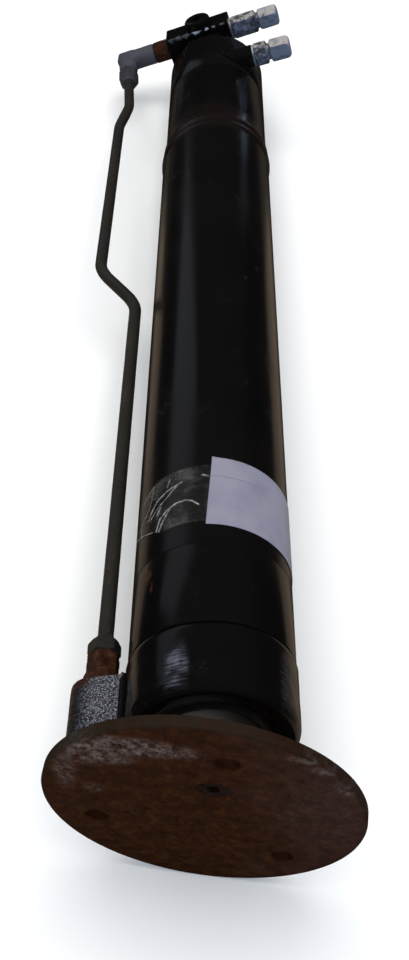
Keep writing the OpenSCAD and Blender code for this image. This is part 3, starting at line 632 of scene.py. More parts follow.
def hexagon(af, angle):
    """Distance from the centre to a hexagon with slightly rounded corners."""
    near = (angle - pi / 6) % (pi / 3)
    flats = [(cos(near - k * pi / 3) / (af / 2)) ** HEX_EDGE for k in (0, 1)]
    return sum(flats) ** (-1 / HEX_EDGE)


def hex_bar(af, h, top, foot=1.5, rough=0.0, columns=120):
    """Hexagon bar from z 0 to h. top lists (distance below h, radius) of its turned end."""
    corner = af / 2 / cos(pi / 6)
    turned = [(0, af / 2 * 0.95), (foot, corner + 0.3)] + [(h - d, r) for d, r in top]

    def reach(a, z):
        r = softer(hexagon(af, a), limit(turned, z))
        pits = noise.fractal(Vector((r * cos(a), r * sin(a), z)) * 0.35, 0.7, 2, 4)
        return r + rough * pits
    return capped([around(lambda a, z=z: reach(a, z), z, columns) for z in steps(0, h, 0.7)])


def frames_along(path):
    """(point, side, up) at each point of a path, turned as little as possible on the way."""
    path = [Vector(p) for p in path]
    ahead = [(b - a).normalized() for a, b in zip(path, path[1:])]
    ahead = [ahead[0]] + [(a + b).normalized() for a, b in zip(ahead, ahead[1:])] + [ahead[-1]]
    side = ahead[0].orthogonal().normalized()
    out = []
    for point, way in zip(path, ahead):
        side = (side - way * side.dot(way)).normalized()
        out.append((point, side, way.cross(side)))
    return out


def tube(path, radius, columns):
    """Closed round bar along a path. radius is a function of the share of the path."""
    rows = []
    frames = frames_along(path)
    for k, (point, side, up) in enumerate(frames):
        r = radius(k / (len(frames) - 1))
        rows.append([tuple(point + side * x + up * y) for x, y, _ in around(r, 0, columns)])
    return capped(rows)


BEAD_STEP, BEAD_PITCH, BEAD_COLUMNS = 0.7, 3.4, 20


def weld_bead(path, r, wave=0.10):
    """Bead of overlapping scales along a path."""
    path = [Vector(p) for p in path]
    total = sum((b - a).length for a, b in zip(path, path[1:]))
    fine_path, marks = [], []
    travelled = 0.0
    for a, b in zip(path, path[1:]):
        parts = max(1, ceil((b - a).length / BEAD_STEP))
        for k in range(parts):
            fine_path.append(a + (b - a) * k / parts)
            marks.append(travelled + (b - a).length * k / parts)
        travelled += (b - a).length
    fine_path.append(path[-1])
    marks.append(total)

    def radius(share):
        s = marks[round(share * (len(marks) - 1))]
        ends = min(1.0, 0.35 + s / (2 * r), 0.35 + (total - s) / (2 * r))
        scale = wave * abs(sin(pi * s / BEAD_PITCH))
        scale += 0.05 * noise.noise(Vector((s * 0.21, r, 0.4)))
        return r * (0.92 + scale) * ends
    return tube(fine_path, radius, BEAD_COLUMNS)


def rounded_square(half, corner, count):
    """Outline of a square with round corners, each in that many steps."""
    out = []
    for k, (x, y) in enumerate(((1, 1), (-1, 1), (-1, -1), (1, -1))):
        for angle in (pi / 2 * k + part for part in quarter(count)):
            out.append((x * (half - corner) + corner * cos(angle),
                        y * (half - corner) + corner * sin(angle)))
    return out


def prism(outline, low, high, edge, step=1.6, bumpy=lambda p: 0.0):
    """Bar of that outline from low to high, with its end edges rounded by edge.
    bumpy(point) moves the side walls outwards."""
    outline = divided(outline, step)
    area = sum(a[0] * b[1] - b[0] * a[1] for a, b in zip(outline, outline[1:] + outline[:1]))
    if area < 0:
        outline = outline[::-1]
    normals = []
    for k in range(len(outline)):
        before, after = Vector(outline[k - 1]), Vector(outline[(k + 1) % len(outline)])
        along = (after - before).normalized()
        normals.append(Vector((along.y, -along.x)))
    rows = []
    rim = [(edge * (1 - sin(a)), edge * (1 - cos(a))) for a in quarter(4)[:-1]]
    levels = [(low + dz, inset) for inset, dz in rim]
    levels += [(z, 0.0) for z in steps(low + edge, high - edge, step)]
    levels += [(high - dz, inset) for inset, dz in rim[::-1]]
    for z, inset in levels:
        row = []
        for (x, y), normal in zip(outline, normals):
            p = Vector((x, y)) + normal * (bumpy(Vector((x, y, z))) - inset)
            row.append((p.x, p.y, z))
        rows.append(row)
    return capped(rows)


def ripple(count, depth, low, high):
    """Weld scales round a bead that lies between low and high."""
    def swell(a, r, z):
        t = (z - low) / (high - low) * 2 - 1
        if abs(t) >= 1:
            return 0.0
        wander = 0.5 * noise.noise(Vector((cos(a), sin(a), z * 0.02)) * 3)
        scale = sin(count * a + 2.6 * t * t + wander * 6)
        return depth * (1 - t * t) * (scale + 0.8 * wander)
    return swell


# ------------------------------------------------------------ barrel and cap

def paint_line(r, z, depth):
    """Thin line round the paint, such as where a coat ends."""
    return [(r, z - 1.2), (r - depth, z), (r, z + 0.3)]


piece("barrel_shell", lathe(
    [(BORE_R, 1), (BORE_R + 1, 0), (BARREL_R - 1.6, 0), (BARREL_R - 0.8, 0.25), (BARREL_R - 0.2, 0.9),
     (BARREL_R, 1.8)] + paint_line(BARREL_R, 71.5, 0.22)
    + [(BARREL_R, z) for z in range(80, 690, 20)] + [(BARREL_R, BARREL_L), (BORE_R, BARREL_L)], ROUND),
    AXIS, BLACK, ["barrel_tube"])

bore_fit, spigot_end, cap_groove, cap_round = BORE_R - 0.05, BARREL_L - 16, CAP_END - 47, 3.5
piece("cap_shell", lathe(
    [(0, spigot_end), (BORE_R - 1, spigot_end), (bore_fit, spigot_end + 1), (bore_fit, BARREL_L),
     (BORE_R + 2, BARREL_L), (BORE_R + 2, SHOULDER - 0.2), (CAP_R + 0.9, SHOULDER - 0.2),
     (CAP_R + 0.75, SHOULDER + 3), (CAP_R + 0.4, SHOULDER + 9), (CAP_R + 0.1, SHOULDER + 17),
     (CAP_R, SHOULDER + 24)]
    + paint_line(CAP_R, CAP_END - 82, 0.18)
    + [(CAP_R - depth, cap_groove + along) for along, depth in (
        (-2.4, 0), (-0.8, 1.1), (0, 1.5), (0.8, 1.1), (2.4, 0))]
    + [(CAP_R, CAP_END - 4.0)]
    + [(CAP_R - cap_round * (1 - cos(a)), CAP_END - cap_round * (1 - sin(a))) for a in quarter(6)[1:]]
    + [(0, CAP_END)], ROUND),
    AXIS, BLACK, ["closed_end_cap"])

weld_half = (SHOULDER - BARREL_L) / 2
weld_root = BORE_R + 2.05


def weld_arch(z, low, fall, height, shares):
    """One bead's outline, from the radius low, falling on the way and arched by height."""
    return [(low + height * sin(pi * t) ** 0.8 - fall * t, z + weld_half * t) for t in shares]


twelfths = [k / 12 for k in range(13)]
weld_profile = [(weld_root, BARREL_L)]
weld_profile += weld_arch(BARREL_L + 0.2, BARREL_R - 0.2, 0.7, 2.0, twelfths)
weld_profile += weld_arch(BARREL_L + 0.2 + weld_half, BARREL_R - 0.9, 0.2, 1.3, twelfths[1:-1])
weld_profile += [(BARREL_R - 1.2, SHOULDER - 0.3), (weld_root, SHOULDER - 0.3)]
lower_scales = ripple(104, 0.14, BARREL_L, BARREL_L + weld_half)
upper_scales = ripple(98, 0.12, BARREL_L + weld_half, SHOULDER)


def weld_scales(a, r, z):
    return lower_scales(a, r, z) + upper_scales(a, r, z) if r > BORE_R + 4 else 0.0


piece("cap_weld_beads", lathe(weld_profile, 620, weld_scales),
      AXIS, BLACK, ["cap_weld"], sharp=50)

# ----------------------------------------------------- valve block and ports

def forged(amount):
    """Slow unevenness of a forged wall, for prism."""
    return lambda p: amount * noise.fractal(p * 0.09, 0.8, 2, 3)


# The block's saddle, which stands on the cap
saddle_outline = [(-24, -8), (20, -8), (20, 26), (-24, 26)]
saddle_foot = -BLOCK_HALF - 21.9
piece("valve_block_body", joined(
    moved(prism(rounded_square(BLOCK_HALF, 2.2, 4), BLOCK_LEFT, BLOCK_RIGHT, 1.6, bumpy=forged(0.12)),
          turn(90, "Y")),
    prism(saddle_outline, saddle_foot, 4 - BLOCK_HALF, 0.4, bumpy=forged(0.1))),
    BLOCK, BLOCK_PAINT, ["valve_block"])

saddle_loop = divided(saddle_outline, 3)
saddle_loop = [(x, y, saddle_foot + 0.5) for x, y in saddle_loop + saddle_loop[:1]]
piece("valve_block_bead", weld_bead(saddle_loop, 2.4), BLOCK, BLACK,
      ["valve_block_weld"], sharp=60)


def screw_cap():
    """Hollow plug with an O-ring groove under a round head that has a hexagon socket."""
    edge, top, columns = 4.2, 10.0, 96
    plug = [(5.5, -3), (5.5, -10), (VALVE_PLUG_R, -10), (VALVE_PLUG_R, -2.4), (7.4, -2.4), (7.4, -0.2),
            (VALVE_PLUG_R, -0.2), (VALVE_PLUG_R, 0.0), (VALVE_CAP_R - 0.4, 0.0), (VALVE_CAP_R, 0.4)]
    rim = [(VALVE_CAP_R - edge * (1 - cos(a)), top - edge + edge * sin(a)) for a in quarter(6)]
    rows = [around(r, z, columns) for r, z in plug + rim]
    for z, widen in ((top, 0.6), (9.3, 0.0), (4.4, 0.0), (4.0, 0.0)):
        rows.append(around(lambda a, widen=widen: hexagon(SOCKET_HEX, a) + widen, z, columns))
    return capped(rows)


piece("check_valve_screw_cap", screw_cap(), BLOCK @ shift(VALVE_X, -BLOCK_HALF, 0) @ turn(90, "X"),
      BLACK, ["check_valve_cap"])


def thread_end():
    """The thread of a fitting, down into the part that it is screwed into."""
    return turned_bar([(THREAD_R, -THREAD_L), (THREAD_R, 0.2)], 60)


def adapter(body, waist):
    """Hexagon body, waist and the thread that goes into the cap nut."""
    end = body + waist
    turned = [(9.6, body - 0.2), (9.6, end), (NUT_THREAD_R, end), (NUT_THREAD_R, end + 11), (8.0, end + 12)]
    hexagon_part = hex_bar(FITTING_HEX, body, [(1.5, 14.1), (0, 11.5)])
    return joined(hexagon_part, turned_bar(turned, 60), thread_end())


def blind_nut(h):
    """Closed cap nut with a turned rim and a well rounded far end."""
    return hex_bar(FITTING_HEX, h, [(6.0, 14.2), (3.2, 13.0), (1.2, 11.6), (0, 9.6)], foot=2.0)


for level, port, seat, body, adapter_turn, nut_turn in (
        ("upper", BLOCK, BLOCK_RIGHT + WASHER, UPPER_ADAPTER, 15, 30),
        ("lower", SIDE, BOSS_END + WASHER, LOWER_ADAPTER, 0, 20)):
    nut_seat = seat + body + ADAPTER_NECK
    piece(level + "_adapter_hex", adapter(body, ADAPTER_NECK),
          port @ along_x(seat) @ turn(adapter_turn, "Z"), DULL_ZINC, [level + "_adapter"])
    piece(level + "_cap_nut_hex", blind_nut(CAP_NUT),
          port @ along_x(nut_seat) @ turn(nut_turn, "Z"), ZINC, [level + "_cap_nut"])


def wall_x(y, r):
    """Where a cylinder of radius r round the axis is met, along the side port's x."""
    return sqrt(max(0.0, r * r - (y - OFFSET) ** 2))


def on_wall(radius, wall_r, count):
    """Points where a round bar of the side port meets a cylinder round the axis."""
    return [(wall_x(y, wall_r), y, z) for z, y, _ in around(radius, 0, count)]


def side_boss(radius, far):
    """Round bar from the cap's wall out to far, ending on the wall's curve."""
    bevel, columns = 1.2, 96
    wall = on_wall(radius, CAP_R + 0.06, columns)
    rows = [[(x + (far - bevel - x) * share, y, z) for x, y, z in wall] for share in (0.0, 0.3, 0.6)]
    for inset, x in ((0.0, far - bevel), (0.35, far - 0.35), (bevel, far), (6.0, far)):
        rows.append([(x, y, z) for z, y, _ in around(radius - inset, 0, columns)])
    return capped(rows)


piece("lower_port_boss_bar", side_boss(BOSS_R, BOSS_END), SIDE, BLACK, ["lower_port_boss"])
boss_loop = on_wall(BOSS_R + 0.6, CAP_R + 0.6, 72)
piece("lower_boss_bead", weld_bead(boss_loop + boss_loop[:1], 2.0, 0.04), SIDE, BLACK,
      ["lower_boss_weld"], sharp=60)

# -------------------------------------------------------------- elbow, pipe

piece("elbow_stud_hex", joined(
    hex_bar(FITTING_HEX, ELBOW_STUD, [(1.5, 14.1), (0, 12.0)], rough=0.22), thread_end()),
    BLOCK @ shift(BLOCK_LEFT, 0, 0) @ turn(-90, "Y") @ turn(12, "Z"),
    STUD_RUST, ["elbow_stud"])


def forged_elbow():
    """Square-shouldered forging: two round arms that meet in a rounded block."""
    arm = turned_bar([(11.6, 0), (12.3, 0.8), (12.5, 2.5), (12.3, 20), (12.4, 38)], 64)
    leg = turned_bar([(12.0, -2), (12.0, 22), (11.4, 29), (9.0, 30), (NUT_THREAD_R, 42)], 64)
    heel = prism(rounded_square(12.2, 4.2, 5), -10.5, 10.5, 3.5)
    return joined(
        moved(arm, BLOCK @ along_x(BLOCK_LEFT - ELBOW_STUD - 0.3) @ turn(180, "X")),
        moved(leg, LEG),
        moved(heel, BLOCK @ shift(ELBOW_X, 0, 0) @ turn(90, "X")),
    )


elbow = piece("elbow_forging", forged_elbow(), AXIS, ELBOW_PAINT, ["elbow_fitting"])
blend_arms = elbow.modifiers.new("blend", "REMESH")
blend_arms.mode = "VOXEL"
blend_arms.voxel_size = 0.0008
blend_arms.use_smooth_shade = True
soften = elbow.modifiers.new("soften", "SMOOTH")
soften.factor = 0.6
soften.iterations = 6


def union_nut(h):
    """Pipe nut: hexagon, then a long shoulder that closes on the pipe."""
    shoulder = [(8.0, 13.0), (6.2, 12.2), (4.6, 9.8), (2.6, 7.9), (0, PIPE_R + 1.0)]
    return hex_bar(PIPE_HEX, h, shoulder, rough=0.12)


piece("elbow_union_nut", union_nut(30), LEG @ shift(0, 0, 36) @ turn(30, "Z"),
      NUT_PAINT, ["elbow_nut"])
piece("pipe_union_nut", union_nut(16.5),
      STUD @ shift(0, 0, PIPE_NUT_Z) @ turn(10 - PORT_ANGLE, "Z"), PIPE_PAINT, ["pipe_nut"])


ARC_STEP, LEG_STEP = 3.0, 12.0


def rounded_path(corners, radii):
    """Points along straight legs joined by arcs of those radii."""
    corners = [Vector(c) for c in corners]
    out = [corners[0]]
    for i in range(1, len(corners) - 1):
        before = (corners[i] - corners[i - 1]).normalized()
        after = (corners[i + 1] - corners[i]).normalized()
        angle = before.angle(after)
        axis = before.cross(after).normalized()
        r = radii[i - 1]
        start = corners[i] - before * (r * tan(angle / 2))
        centre = start + axis.cross(before) * r
        parts = max(4, ceil(r * angle / ARC_STEP))
        leg_parts = max(1, round((start - out[-1]).length / LEG_STEP))
        last = out[-1]
        out += [last + (start - last) * k / leg_parts for k in range(1, leg_parts)]
        out += [centre + Matrix.Rotation(angle * k / parts, 3, axis) @ (start - centre)
                for k in range(parts + 1)]
    last = out[-1]
    leg_parts = round((corners[-1] - last).length / LEG_STEP)
    return out + [last + (corners[-1] - last) * k / leg_parts for k in range(1, leg_parts + 1)]


def on_cross(x, z):
    """Point at height z, that far along the valve block's direction."""
    return across(BLOCK_ANGLE, z) @ Vector((x, 0, 0))


port_foot = STUD @ Vector()
pipe_corners = [
    (port_foot.x, port_foot.y, PIPE_NUT_Z - 8), (port_foot.x, port_foot.y, 463),
    on_cross(-109.5, 492), on_cross(-109.5, 795),
    LEG @ Vector((0, 0, 132)), LEG @ Vector((0, 0, 38)),
]
pipe_path = rounded_path(pipe_corners, [PIPE_JOG_R, PIPE_JOG_R, PIPE_SLOW_R, PIPE_SLOW_R])


def pipe_radius(share):
    return PIPE_R + 0.10 * noise.noise(Vector((share * 60, 0.3, 0.7)))


piece("steel_pipe_run", tube(pipe_path, pipe_radius, 40), AXIS, PIPE_PAINT,
      ["steel_pipe"])


COLLAR_R, COLLAR_L = 13.6, 13.6


def stud_collar():
    """Round flange of the stud, thick with rust and flared where it meets the block."""
    def reach(a, z):
        r = COLLAR_R + 1.2 * max(0.0, 1 - z / 4.0) ** 2 - max(0.0, (z - 11) / 3.5)
        flare = 5.2 * max(0.0, 1 - z / 8.5) ** 1.3
        scale = noise.fractal(Vector((cos(a) * r, sin(a) * r, z)) * 0.22, 0.8, 2, 4)
        return r + flare * max(0.0, -cos(a)) ** 1.5 + 0.5 * scale
    return capped([around(lambda a, z=z: reach(a, z), z, 96) for z in steps(0, COLLAR_L + 0.9, 0.9)])


stud_hex = hex_bar(PIPE_HEX, PIPE_NUT_Z - PORT_TOP - 13.8, [(1.5, 12.8), (0, 10.8)], rough=0.35)
stud_hex = moved(stud_hex, shift(0, 0, COLLAR_L) @ turn(25 - PORT_ANGLE, "Z"))
piece("pipe_stud_hex", joined(stud_collar(), stud_hex), STUD @ shift(0, 0, PORT_TOP + 0.05),
      STUD_RUST, ["pipe_stud"])

# --------------------------------------------------------- gland and port block

# Outline of the block: a flat oval nose, then the concave side that fits the gland
saddle_r = GLAND_R + 0.1
saddle_x = sqrt(saddle_r ** 2 - PORT_HALF ** 2)
half_angle = atan2(PORT_HALF, saddle_x)
nose_angles = [pi * k / 24 for k in range(25)]
saddle_angles = [pi + half_angle * (1 - k / 8) for k in range(1, 16)]
port_outline = [(-saddle_x, PORT_HALF)]
port_outline += [(NOSE_X - NOSE_L * sin(a), PORT_HALF * cos(a)) for a in nose_angles]
port_outline += [(-saddle_x, -PORT_HALF)]
port_outline += [(saddle_r * cos(a), saddle_r * sin(a)) for a in saddle_angles]


def hammer(p):
    """Raised beads of the hammered coat, on the outside walls only."""
    if hypot(p.x, p.y) < GLAND_R + 1.5:
        return 0.0
    near = noise.voronoi(p * 0.62)[0][0]
    return 0.45 * max(0.0, 0.6 - near) + 0.18 * noise.fractal(p * 0.12, 0.8, 2, 2)


piece("port_block_casting", prism(port_outline, PORT_BOTTOM, PORT_TOP, 2.6, 0.55, hammer),
      PORT, HAMMERED, ["gland_port_block"], sharp=60)
seam_x, seam_y, seam_levels = -saddle_x - 0.6, PORT_HALF + 0.4, steps(PORT_BOTTOM + 2, PORT_TOP - 2, 3)
seams = [weld_bead([(seam_x, way * seam_y, z) for z in seam_levels], 3.4, 0.03) for way in (-1, 1)]
piece("port_block_beads", joined(*seams), PORT, BLACK, ["port_block_weld"], sharp=60)

rod_gap = ROD_R + 0.4


def groove(radius, low, high, bottom):
    """Outline of a groove between two heights, from the low side up."""
    return [(radius, low), (bottom, low), (bottom, high), (radius, high)]


gland_profile = [(rod_gap, SPIGOT), (BORE_R - 1.5, SPIGOT), (bore_fit, SPIGOT - 1.5)]
gland_profile += groove(bore_fit, 44, 50, BORE_R - 2.7)[::-1]
gland_profile += [
    (bore_fit, 0.5), (BORE_R + 1, -0.8), (GLAND_R - 2.6, -0.8), (GLAND_R - 1.4, -1.1),
    (GLAND_R - 0.4, -1.9), (GLAND_R, -3.2),
]
gland_profile += [(GLAND_R, z) for z in (-12, -22, -32, -40)]
gland_profile += [(GLAND_R - END_ROUND_R * (1 - cos(a)), GLAND_END + END_ROUND_L * (1 - sin(a)))
                  for a in quarter(12)]
gland_profile += [
    (ROD_R + 14, GLAND_END), (ROD_R + 12.6, GLAND_END + 0.5), (ROD_R + 9.6, WIPER_Z - 0.3),
    (ROD_R + 8.5, WIPER_Z), (ROD_R + 6, WIPER_Z), (ROD_R + 6, WIPER_Z + 8), (rod_gap, WIPER_Z + 8),
]
gland_profile += groove(rod_gap, -40, -28, ROD_R + 6)
gland_profile += groove(rod_gap, -20, -5, ROD_R + 2.6)
gland_profile += groove(rod_gap, 20, 35, ROD_R + 2.6)


def gland_swell(a, r, z):
    """Hand-ground collar: slow dents that stay inside the collar's own radius."""
    if r < BORE_R + 4 or z > -6 or z < GLAND_END + 1:
        return 0.0
    p = Vector((r * cos(a), r * sin(a), z))
    return -0.35 * abs(noise.fractal(p * 0.05, 0.8, 2, 3))


piece("gland_collar", lathe(divided(gland_profile, 2.5), ROUND, gland_swell),
      AXIS, GLAND_PAINT, ["gland_head"])

# ------------------------------------------------------------ label and tape

FILM = 0.12
LABEL_SIZE, LABEL_AT = (105.0, 70.0), (49.0, 120.6)
TAPE_SIZE, TAPE_AT = (80.0, 58.0), (-42.5, 121.5)
# Folds of the tape as (arc, z) lines in mm, each with its half width and height
FOLDS = (
    (((-57, 114), (-50, 125), (-40, 131.5), (-25, 136.5)), 0.55, 0.9),
    (((-55, 112), (-48, 118), (-37, 126), (-26.5, 136)), 0.50, 0.8),
    (((-47, 95), (-43, 107), (-35, 113)), 0.55, 1.1), (((-44, 94), (-38.5, 105.5), (-34.5, 112)), 0.5, 1.0),
    (((-34, 113.6), (-26.5, 116), (-20, 116), (-15, 113), (-11, 109)), 0.60, 1.1),
    (((-8.5, 140), (-4, 138.5)), 0.8, 0.9), (((-35, 144), (-37.5, 137)), 0.5, 0.7),
    (((-46.5, 113), (-43, 118.5)), 0.9, 0.8), (((-78, 110), (-51, 98)), 0.6, 0.7),
    (((-52.5, 147), (-54, 133), (-58, 124), (-69, 117)), 0.45, 0.6),
    (((-52.5, 147), (-60, 143), (-71, 139)), 0.4, 0.5), (((-70, 116), (-66, 106)), 0.6, 0.7),
)


def on_barrel(arc, z, lift):
    """Point at an arc length round the barrel from its top (positive towards +X)."""
    a = arc / BARREL_R
    r = BARREL_R + lift
    return (r * sin(a), -r * cos(a), z)


def sheet_on_barrel(name, size, centre, tilt, lift, cells, material, node,
                    mark=None, kept=lambda u, v: True):
    """Thin film on the barrel: lift(u, v) is its height above the paint, with u and v from
    0 to 1. mark(u, v) is how creased it is, and kept(u, v) is false where it is torn off."""
    nu, nv = cells
    c, s = cos(radians(tilt)), sin(radians(tilt))
    verts, marks = [], []
    for i in range(nu + 1):
        for k in range(nv + 1):
            u, v = i / nu, k / nv
            a, b = (u - 0.5) * size[0], (v - 0.5) * size[1]
            arc = centre[0] + a * c + b * s
            z = centre[1] - a * s + b * c
            verts.append(on_barrel(arc, z, lift(u, v)))
            marks.append(mark(u, v) if mark else 0.0)
    faces = [(i * (nv + 1) + k, (i + 1) * (nv + 1) + k, (i + 1) * (nv + 1) + k + 1, i * (nv + 1) + k + 1)
             for i in range(nu) for k in range(nv) if kept((i + 0.5) / nu, (k + 0.5) / nv)]
    used = sorted({i for face in faces for i in face})
    index = {old: new for new, old in enumerate(used)}
    verts, marks = [verts[i] for i in used], [marks[i] for i in used]
    faces = [tuple(index[i] for i in face) for face in faces]
    film = piece(name, (verts, faces), AXIS, material, [node], sharp=80)
    if mark:
        film.data.attributes.new("crease", "FLOAT", "POINT").data.foreach_set("value", marks)
    thick = film.modifiers.new("thickness", "SOLIDIFY")
    thick.thickness = FILM / 1000
    thick.offset = 1.0


def label_lift(u, v):
    """Height of the label: nearly flat, with one corner curled up."""
    corner_curl = max(0.0, (v - 0.90) / 0.10) * max(0.0, (0.08 - u) / 0.08)
    return 0.42 + 0.9 * corner_curl ** 2 + 0.10 * noise.noise(Vector((u * 5, v * 4, 2.0)))


sheet_on_barrel("label_sheet", LABEL_SIZE, LABEL_AT, LABEL_TURN, label_lift, (84, 48),
                PAPER, "paper_label")


def on_tape(u, v):
    """(arc, z) of a point of the tape, in mm."""
    return TAPE_AT[0] + (u - 0.5) * TAPE_SIZE[0], TAPE_AT[1] + (v - 0.5) * TAPE_SIZE[1]


def fold_at(u, v):
    """Height of the folds at (u, v), from 0 to about 1."""
    p = Vector(on_tape(u, v))
    p += Vector((noise.noise(Vector((*p * 0.21, 3.0))), noise.noise(Vector((*p * 0.21, 8.0))))) * 0.6
    best = 0.0
    for line, width, strength in FOLDS:
        for (x0, y0), (x1, y1) in zip(line, line[1:]):
            a, along = Vector((x0, y0)), Vector((x1 - x0, y1 - y0))
            share = min(1.0, max(0.0, (p - a).dot(along) / along.length_squared))
            far = (p - a - along * share).length / width
            if far < 3:
                best = max(best, strength * exp(-far * far))
    return best * (0.75 + 0.5 * noise.noise(Vector((*p * 0.35, 1.0))))


def tape_lift(u, v):
    """Height of the tape: its folds, and slow wrinkles."""
    p = Vector((*on_tape(u, v), 1.3))
    wrinkle = 0.10 * noise.fractal(p * 0.07, 0.9, 2, 2)
    return 0.22 + 0.7 * fold_at(u, v) + max(-0.08, wrinkle)


def tape_kept(u, v):
    """The tape's torn outline: two corners on its far side are missing."""
    arc, z = on_tape(u, v)
    wave = 0.8 * noise.noise(Vector((arc * 0.3, z * 0.3, 6.0)))
    in_from_end = arc + 79
    return 110 - in_from_end * 0.46 + wave < z < 137 + in_from_end * 0.42 + wave


sheet_on_barrel("tape_film", TAPE_SIZE, TAPE_AT, 0.0, tape_lift, (230, 166),
                TAPE, "packing_tape", fold_at, tape_kept)

# --------------------------------------------------------------- foot plate

def disc_with_holes(radius, holes, grid):
    """Flat triangles of a disc: points on a triangular grid, inside the rim and outside the
    holes. Gives the points, the triangles, and the loops of points at the rim and the holes."""
    points, edges = [], []

    def ring(cx, cy, r, count):
        first = len(points)
        points.extend(Vector((cx + x, cy + y)) for x, y, _ in around(r, 0, count))
        edges.extend((first + k, first + (k + 1) % count) for k in range(count))
        return list(range(first, first + count))

    loops = [ring(0, 0, radius, 240)]
    loops += [ring(cx, cy, r, 40) for cx, cy, r in holes]
    row_height = grid * 0.866
    rows = ceil(radius / row_height)
    for row in range(-rows, rows + 1):
        y = row * row_height
        for column in range(-rows - 8, rows + 9):
            x = column * grid + (grid / 2 if row % 2 else 0)
            if hypot(x, y) > radius - grid * 0.6:
                continue
            if any(hypot(x - cx, y - cy) < r + grid * 0.5 for cx, cy, r in holes):
                continue
            points.append(Vector((x, y)))
    result = delaunay_2d_cdt(points, edges, [], 0, 1e-6)
    flat, triangles = result[0], result[2]
    inside = []
    for face in triangles:
        middle = sum((flat[i] for i in face), Vector((0, 0))) / len(face)
        if middle.length < radius and all(
                (middle - Vector((cx, cy))).length > r * 0.97 for cx, cy, r in holes):
            inside.append(tuple(face))
    return [tuple(p) for p in flat], inside, loops


# Bolt holes on a circle, the first at BOLT_START degrees, and the hole of the stud's screw
BOLT_CIRCLE, BOLT_CENTRE, BOLT_START, BOLT_R = 74.0, (-0.5, 6.5), -77, 7.9
SCREW, SCREW_HEAD_R, SCREW_R = (7.0, -27.0), 11.9, 6.15
PLATE_EDGE, PLATE_GRID = 1.1, 2.6
FLANGE_BEAD_R, FLANGE_BEAD_Z = 42.3, FOOT_T - FOOT_FACE + 1.9
bolt_angles = [radians(BOLT_START + 120 * k) for k in range(3)]
bolt_holes = [(BOLT_CENTRE[0] + BOLT_CIRCLE * cos(a), BOLT_CENTRE[1] + BOLT_CIRCLE * sin(a), BOLT_R)
              for a in bolt_angles]


def plate_shape():
    """Plate with rolled edges at the rim and the holes, and pitted faces."""
    holes = bolt_holes + [(*SCREW, SCREW_HEAD_R + 0.5)]
    flat, triangles, loops = disc_with_holes(FOOT_R - PLATE_EDGE, holes, PLATE_GRID)
    verts, faces = [], []
    for z, way in ((0.0, 1), (FOOT_T, -1)):
        first = len(verts)
        for x, y in flat:
            pit = 0.0
            if hypot(x, y) < FOOT_R - 3:
                depth = noise.fractal(Vector((x, y, z)) * 0.11, 0.75, 2.1, 5)
                pit = max(0.0, depth) * 0.5
            verts.append((x, y, z + way * pit))
        faces += [tuple(i + first for i in face) for face in triangles]
    per_side = len(flat)

    def wall(loop, cx, cy, profile):
        """Rows of points down from the outer face's loop to the inner face's."""
        rows = [list(loop)]
        angles = [atan2(verts[i][1] - cy, verts[i][0] - cx) for i in loop]
        for r, z in profile:
            start = len(verts)
            for a in angles:
                verts.append((cx + r * cos(a), cy + r * sin(a), z))
            rows.append(list(range(start, start + len(angles))))
        rows.append([i + per_side for i in loop])
        for one, two in zip(rows, rows[1:]):
            n = len(one)
            faces.extend((one[k], one[(k + 1) % n], two[(k + 1) % n], two[k]) for k in range(n))

    wall(loops[0], 0, 0, [(FOOT_R - 0.4, 0.25)] + [(FOOT_R, z) for z in (1.0, 2.5, 4.0, 5.5, 7.0)]
         + [(FOOT_R - 0.4, 7.75)])
    for loop, (cx, cy, r) in zip(loops[1:4], bolt_holes):
        wall(loop, cx, cy, [(r - 0.35, 0.35), (r - 0.4, 2.0), (r - 0.4, 6.0), (r - 0.35, 7.65)])
    wall(loops[4], *SCREW, [(SCREW_HEAD_R, 0.2), (SCREW_R, 5.9), (SCREW_R, 7.9)])
    return verts, faces


piece("foot_disc", plate_shape(), FOOT @ shift(0, 0, -FOOT_FACE), PLATE,
      ["foot_plate"], "foot", sharp=40)
flange_loop = around(FLANGE_BEAD_R, FLANGE_BEAD_Z, 120)
piece("stud_flange_bead", weld_bead(flange_loop + flange_loop[:1], 2.6), FOOT, STUD_STEEL,
      ["stud_weld"], "foot", sharp=60)

# --------------------------------------------------- CAD nodes that stay as they are

KEPT = {
    "rod": CHROME, "piston": STEEL, "piston_nut": STEEL, "ball_retaining_ring": STEEL,
    "ring_lock_screw": STEEL, "check_spring": STEEL, "check_poppet": STEEL,
    "elbow_ferrule": STEEL, "pipe_ferrule": STEEL, "ball_stud": STUD_STEEL, "stud_screw": SCREW_RUST,
    "upper_ball_seat": BRONZE, "lower_ball_seat": BRONZE,
    "upper_seal_washer": ZINC, "lower_seal_washer": ZINC,
    "check_valve_oring": RUBBER, "gland_oring": RUBBER, "rod_seal": RUBBER, "wiper_seal": RUBBER,
    "piston_oring": RUBBER, "gland_backup_ring": NYLON, "rod_guide_rings": NYLON,
    "piston_seal": NYLON, "piston_wear_rings": NYLON,
}
for name, material in KEPT.items():
    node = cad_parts[name]
    node.data.materials.clear()
    node.data.materials.append(material)

# ------------------------------------------------------- floor, light, camera

scene.view_settings.view_transform = "Standard"
scene.view_settings.look = "None"

# The foot's rim and the weld bead carry the cylinder as it lies. The floor is just below.
CONTACT_FOOT = Vector((0, -0.098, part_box("foot_plate")[0].z))
CONTACT_BEAD = Vector((0, 0.700, -0.0622))
FLOOR_GAP, FLOOR_HALF = 0.0004, 12.0
slope = atan2(CONTACT_BEAD.z - CONTACT_FOOT.z, CONTACT_BEAD.y - CONTACT_FOOT.y)


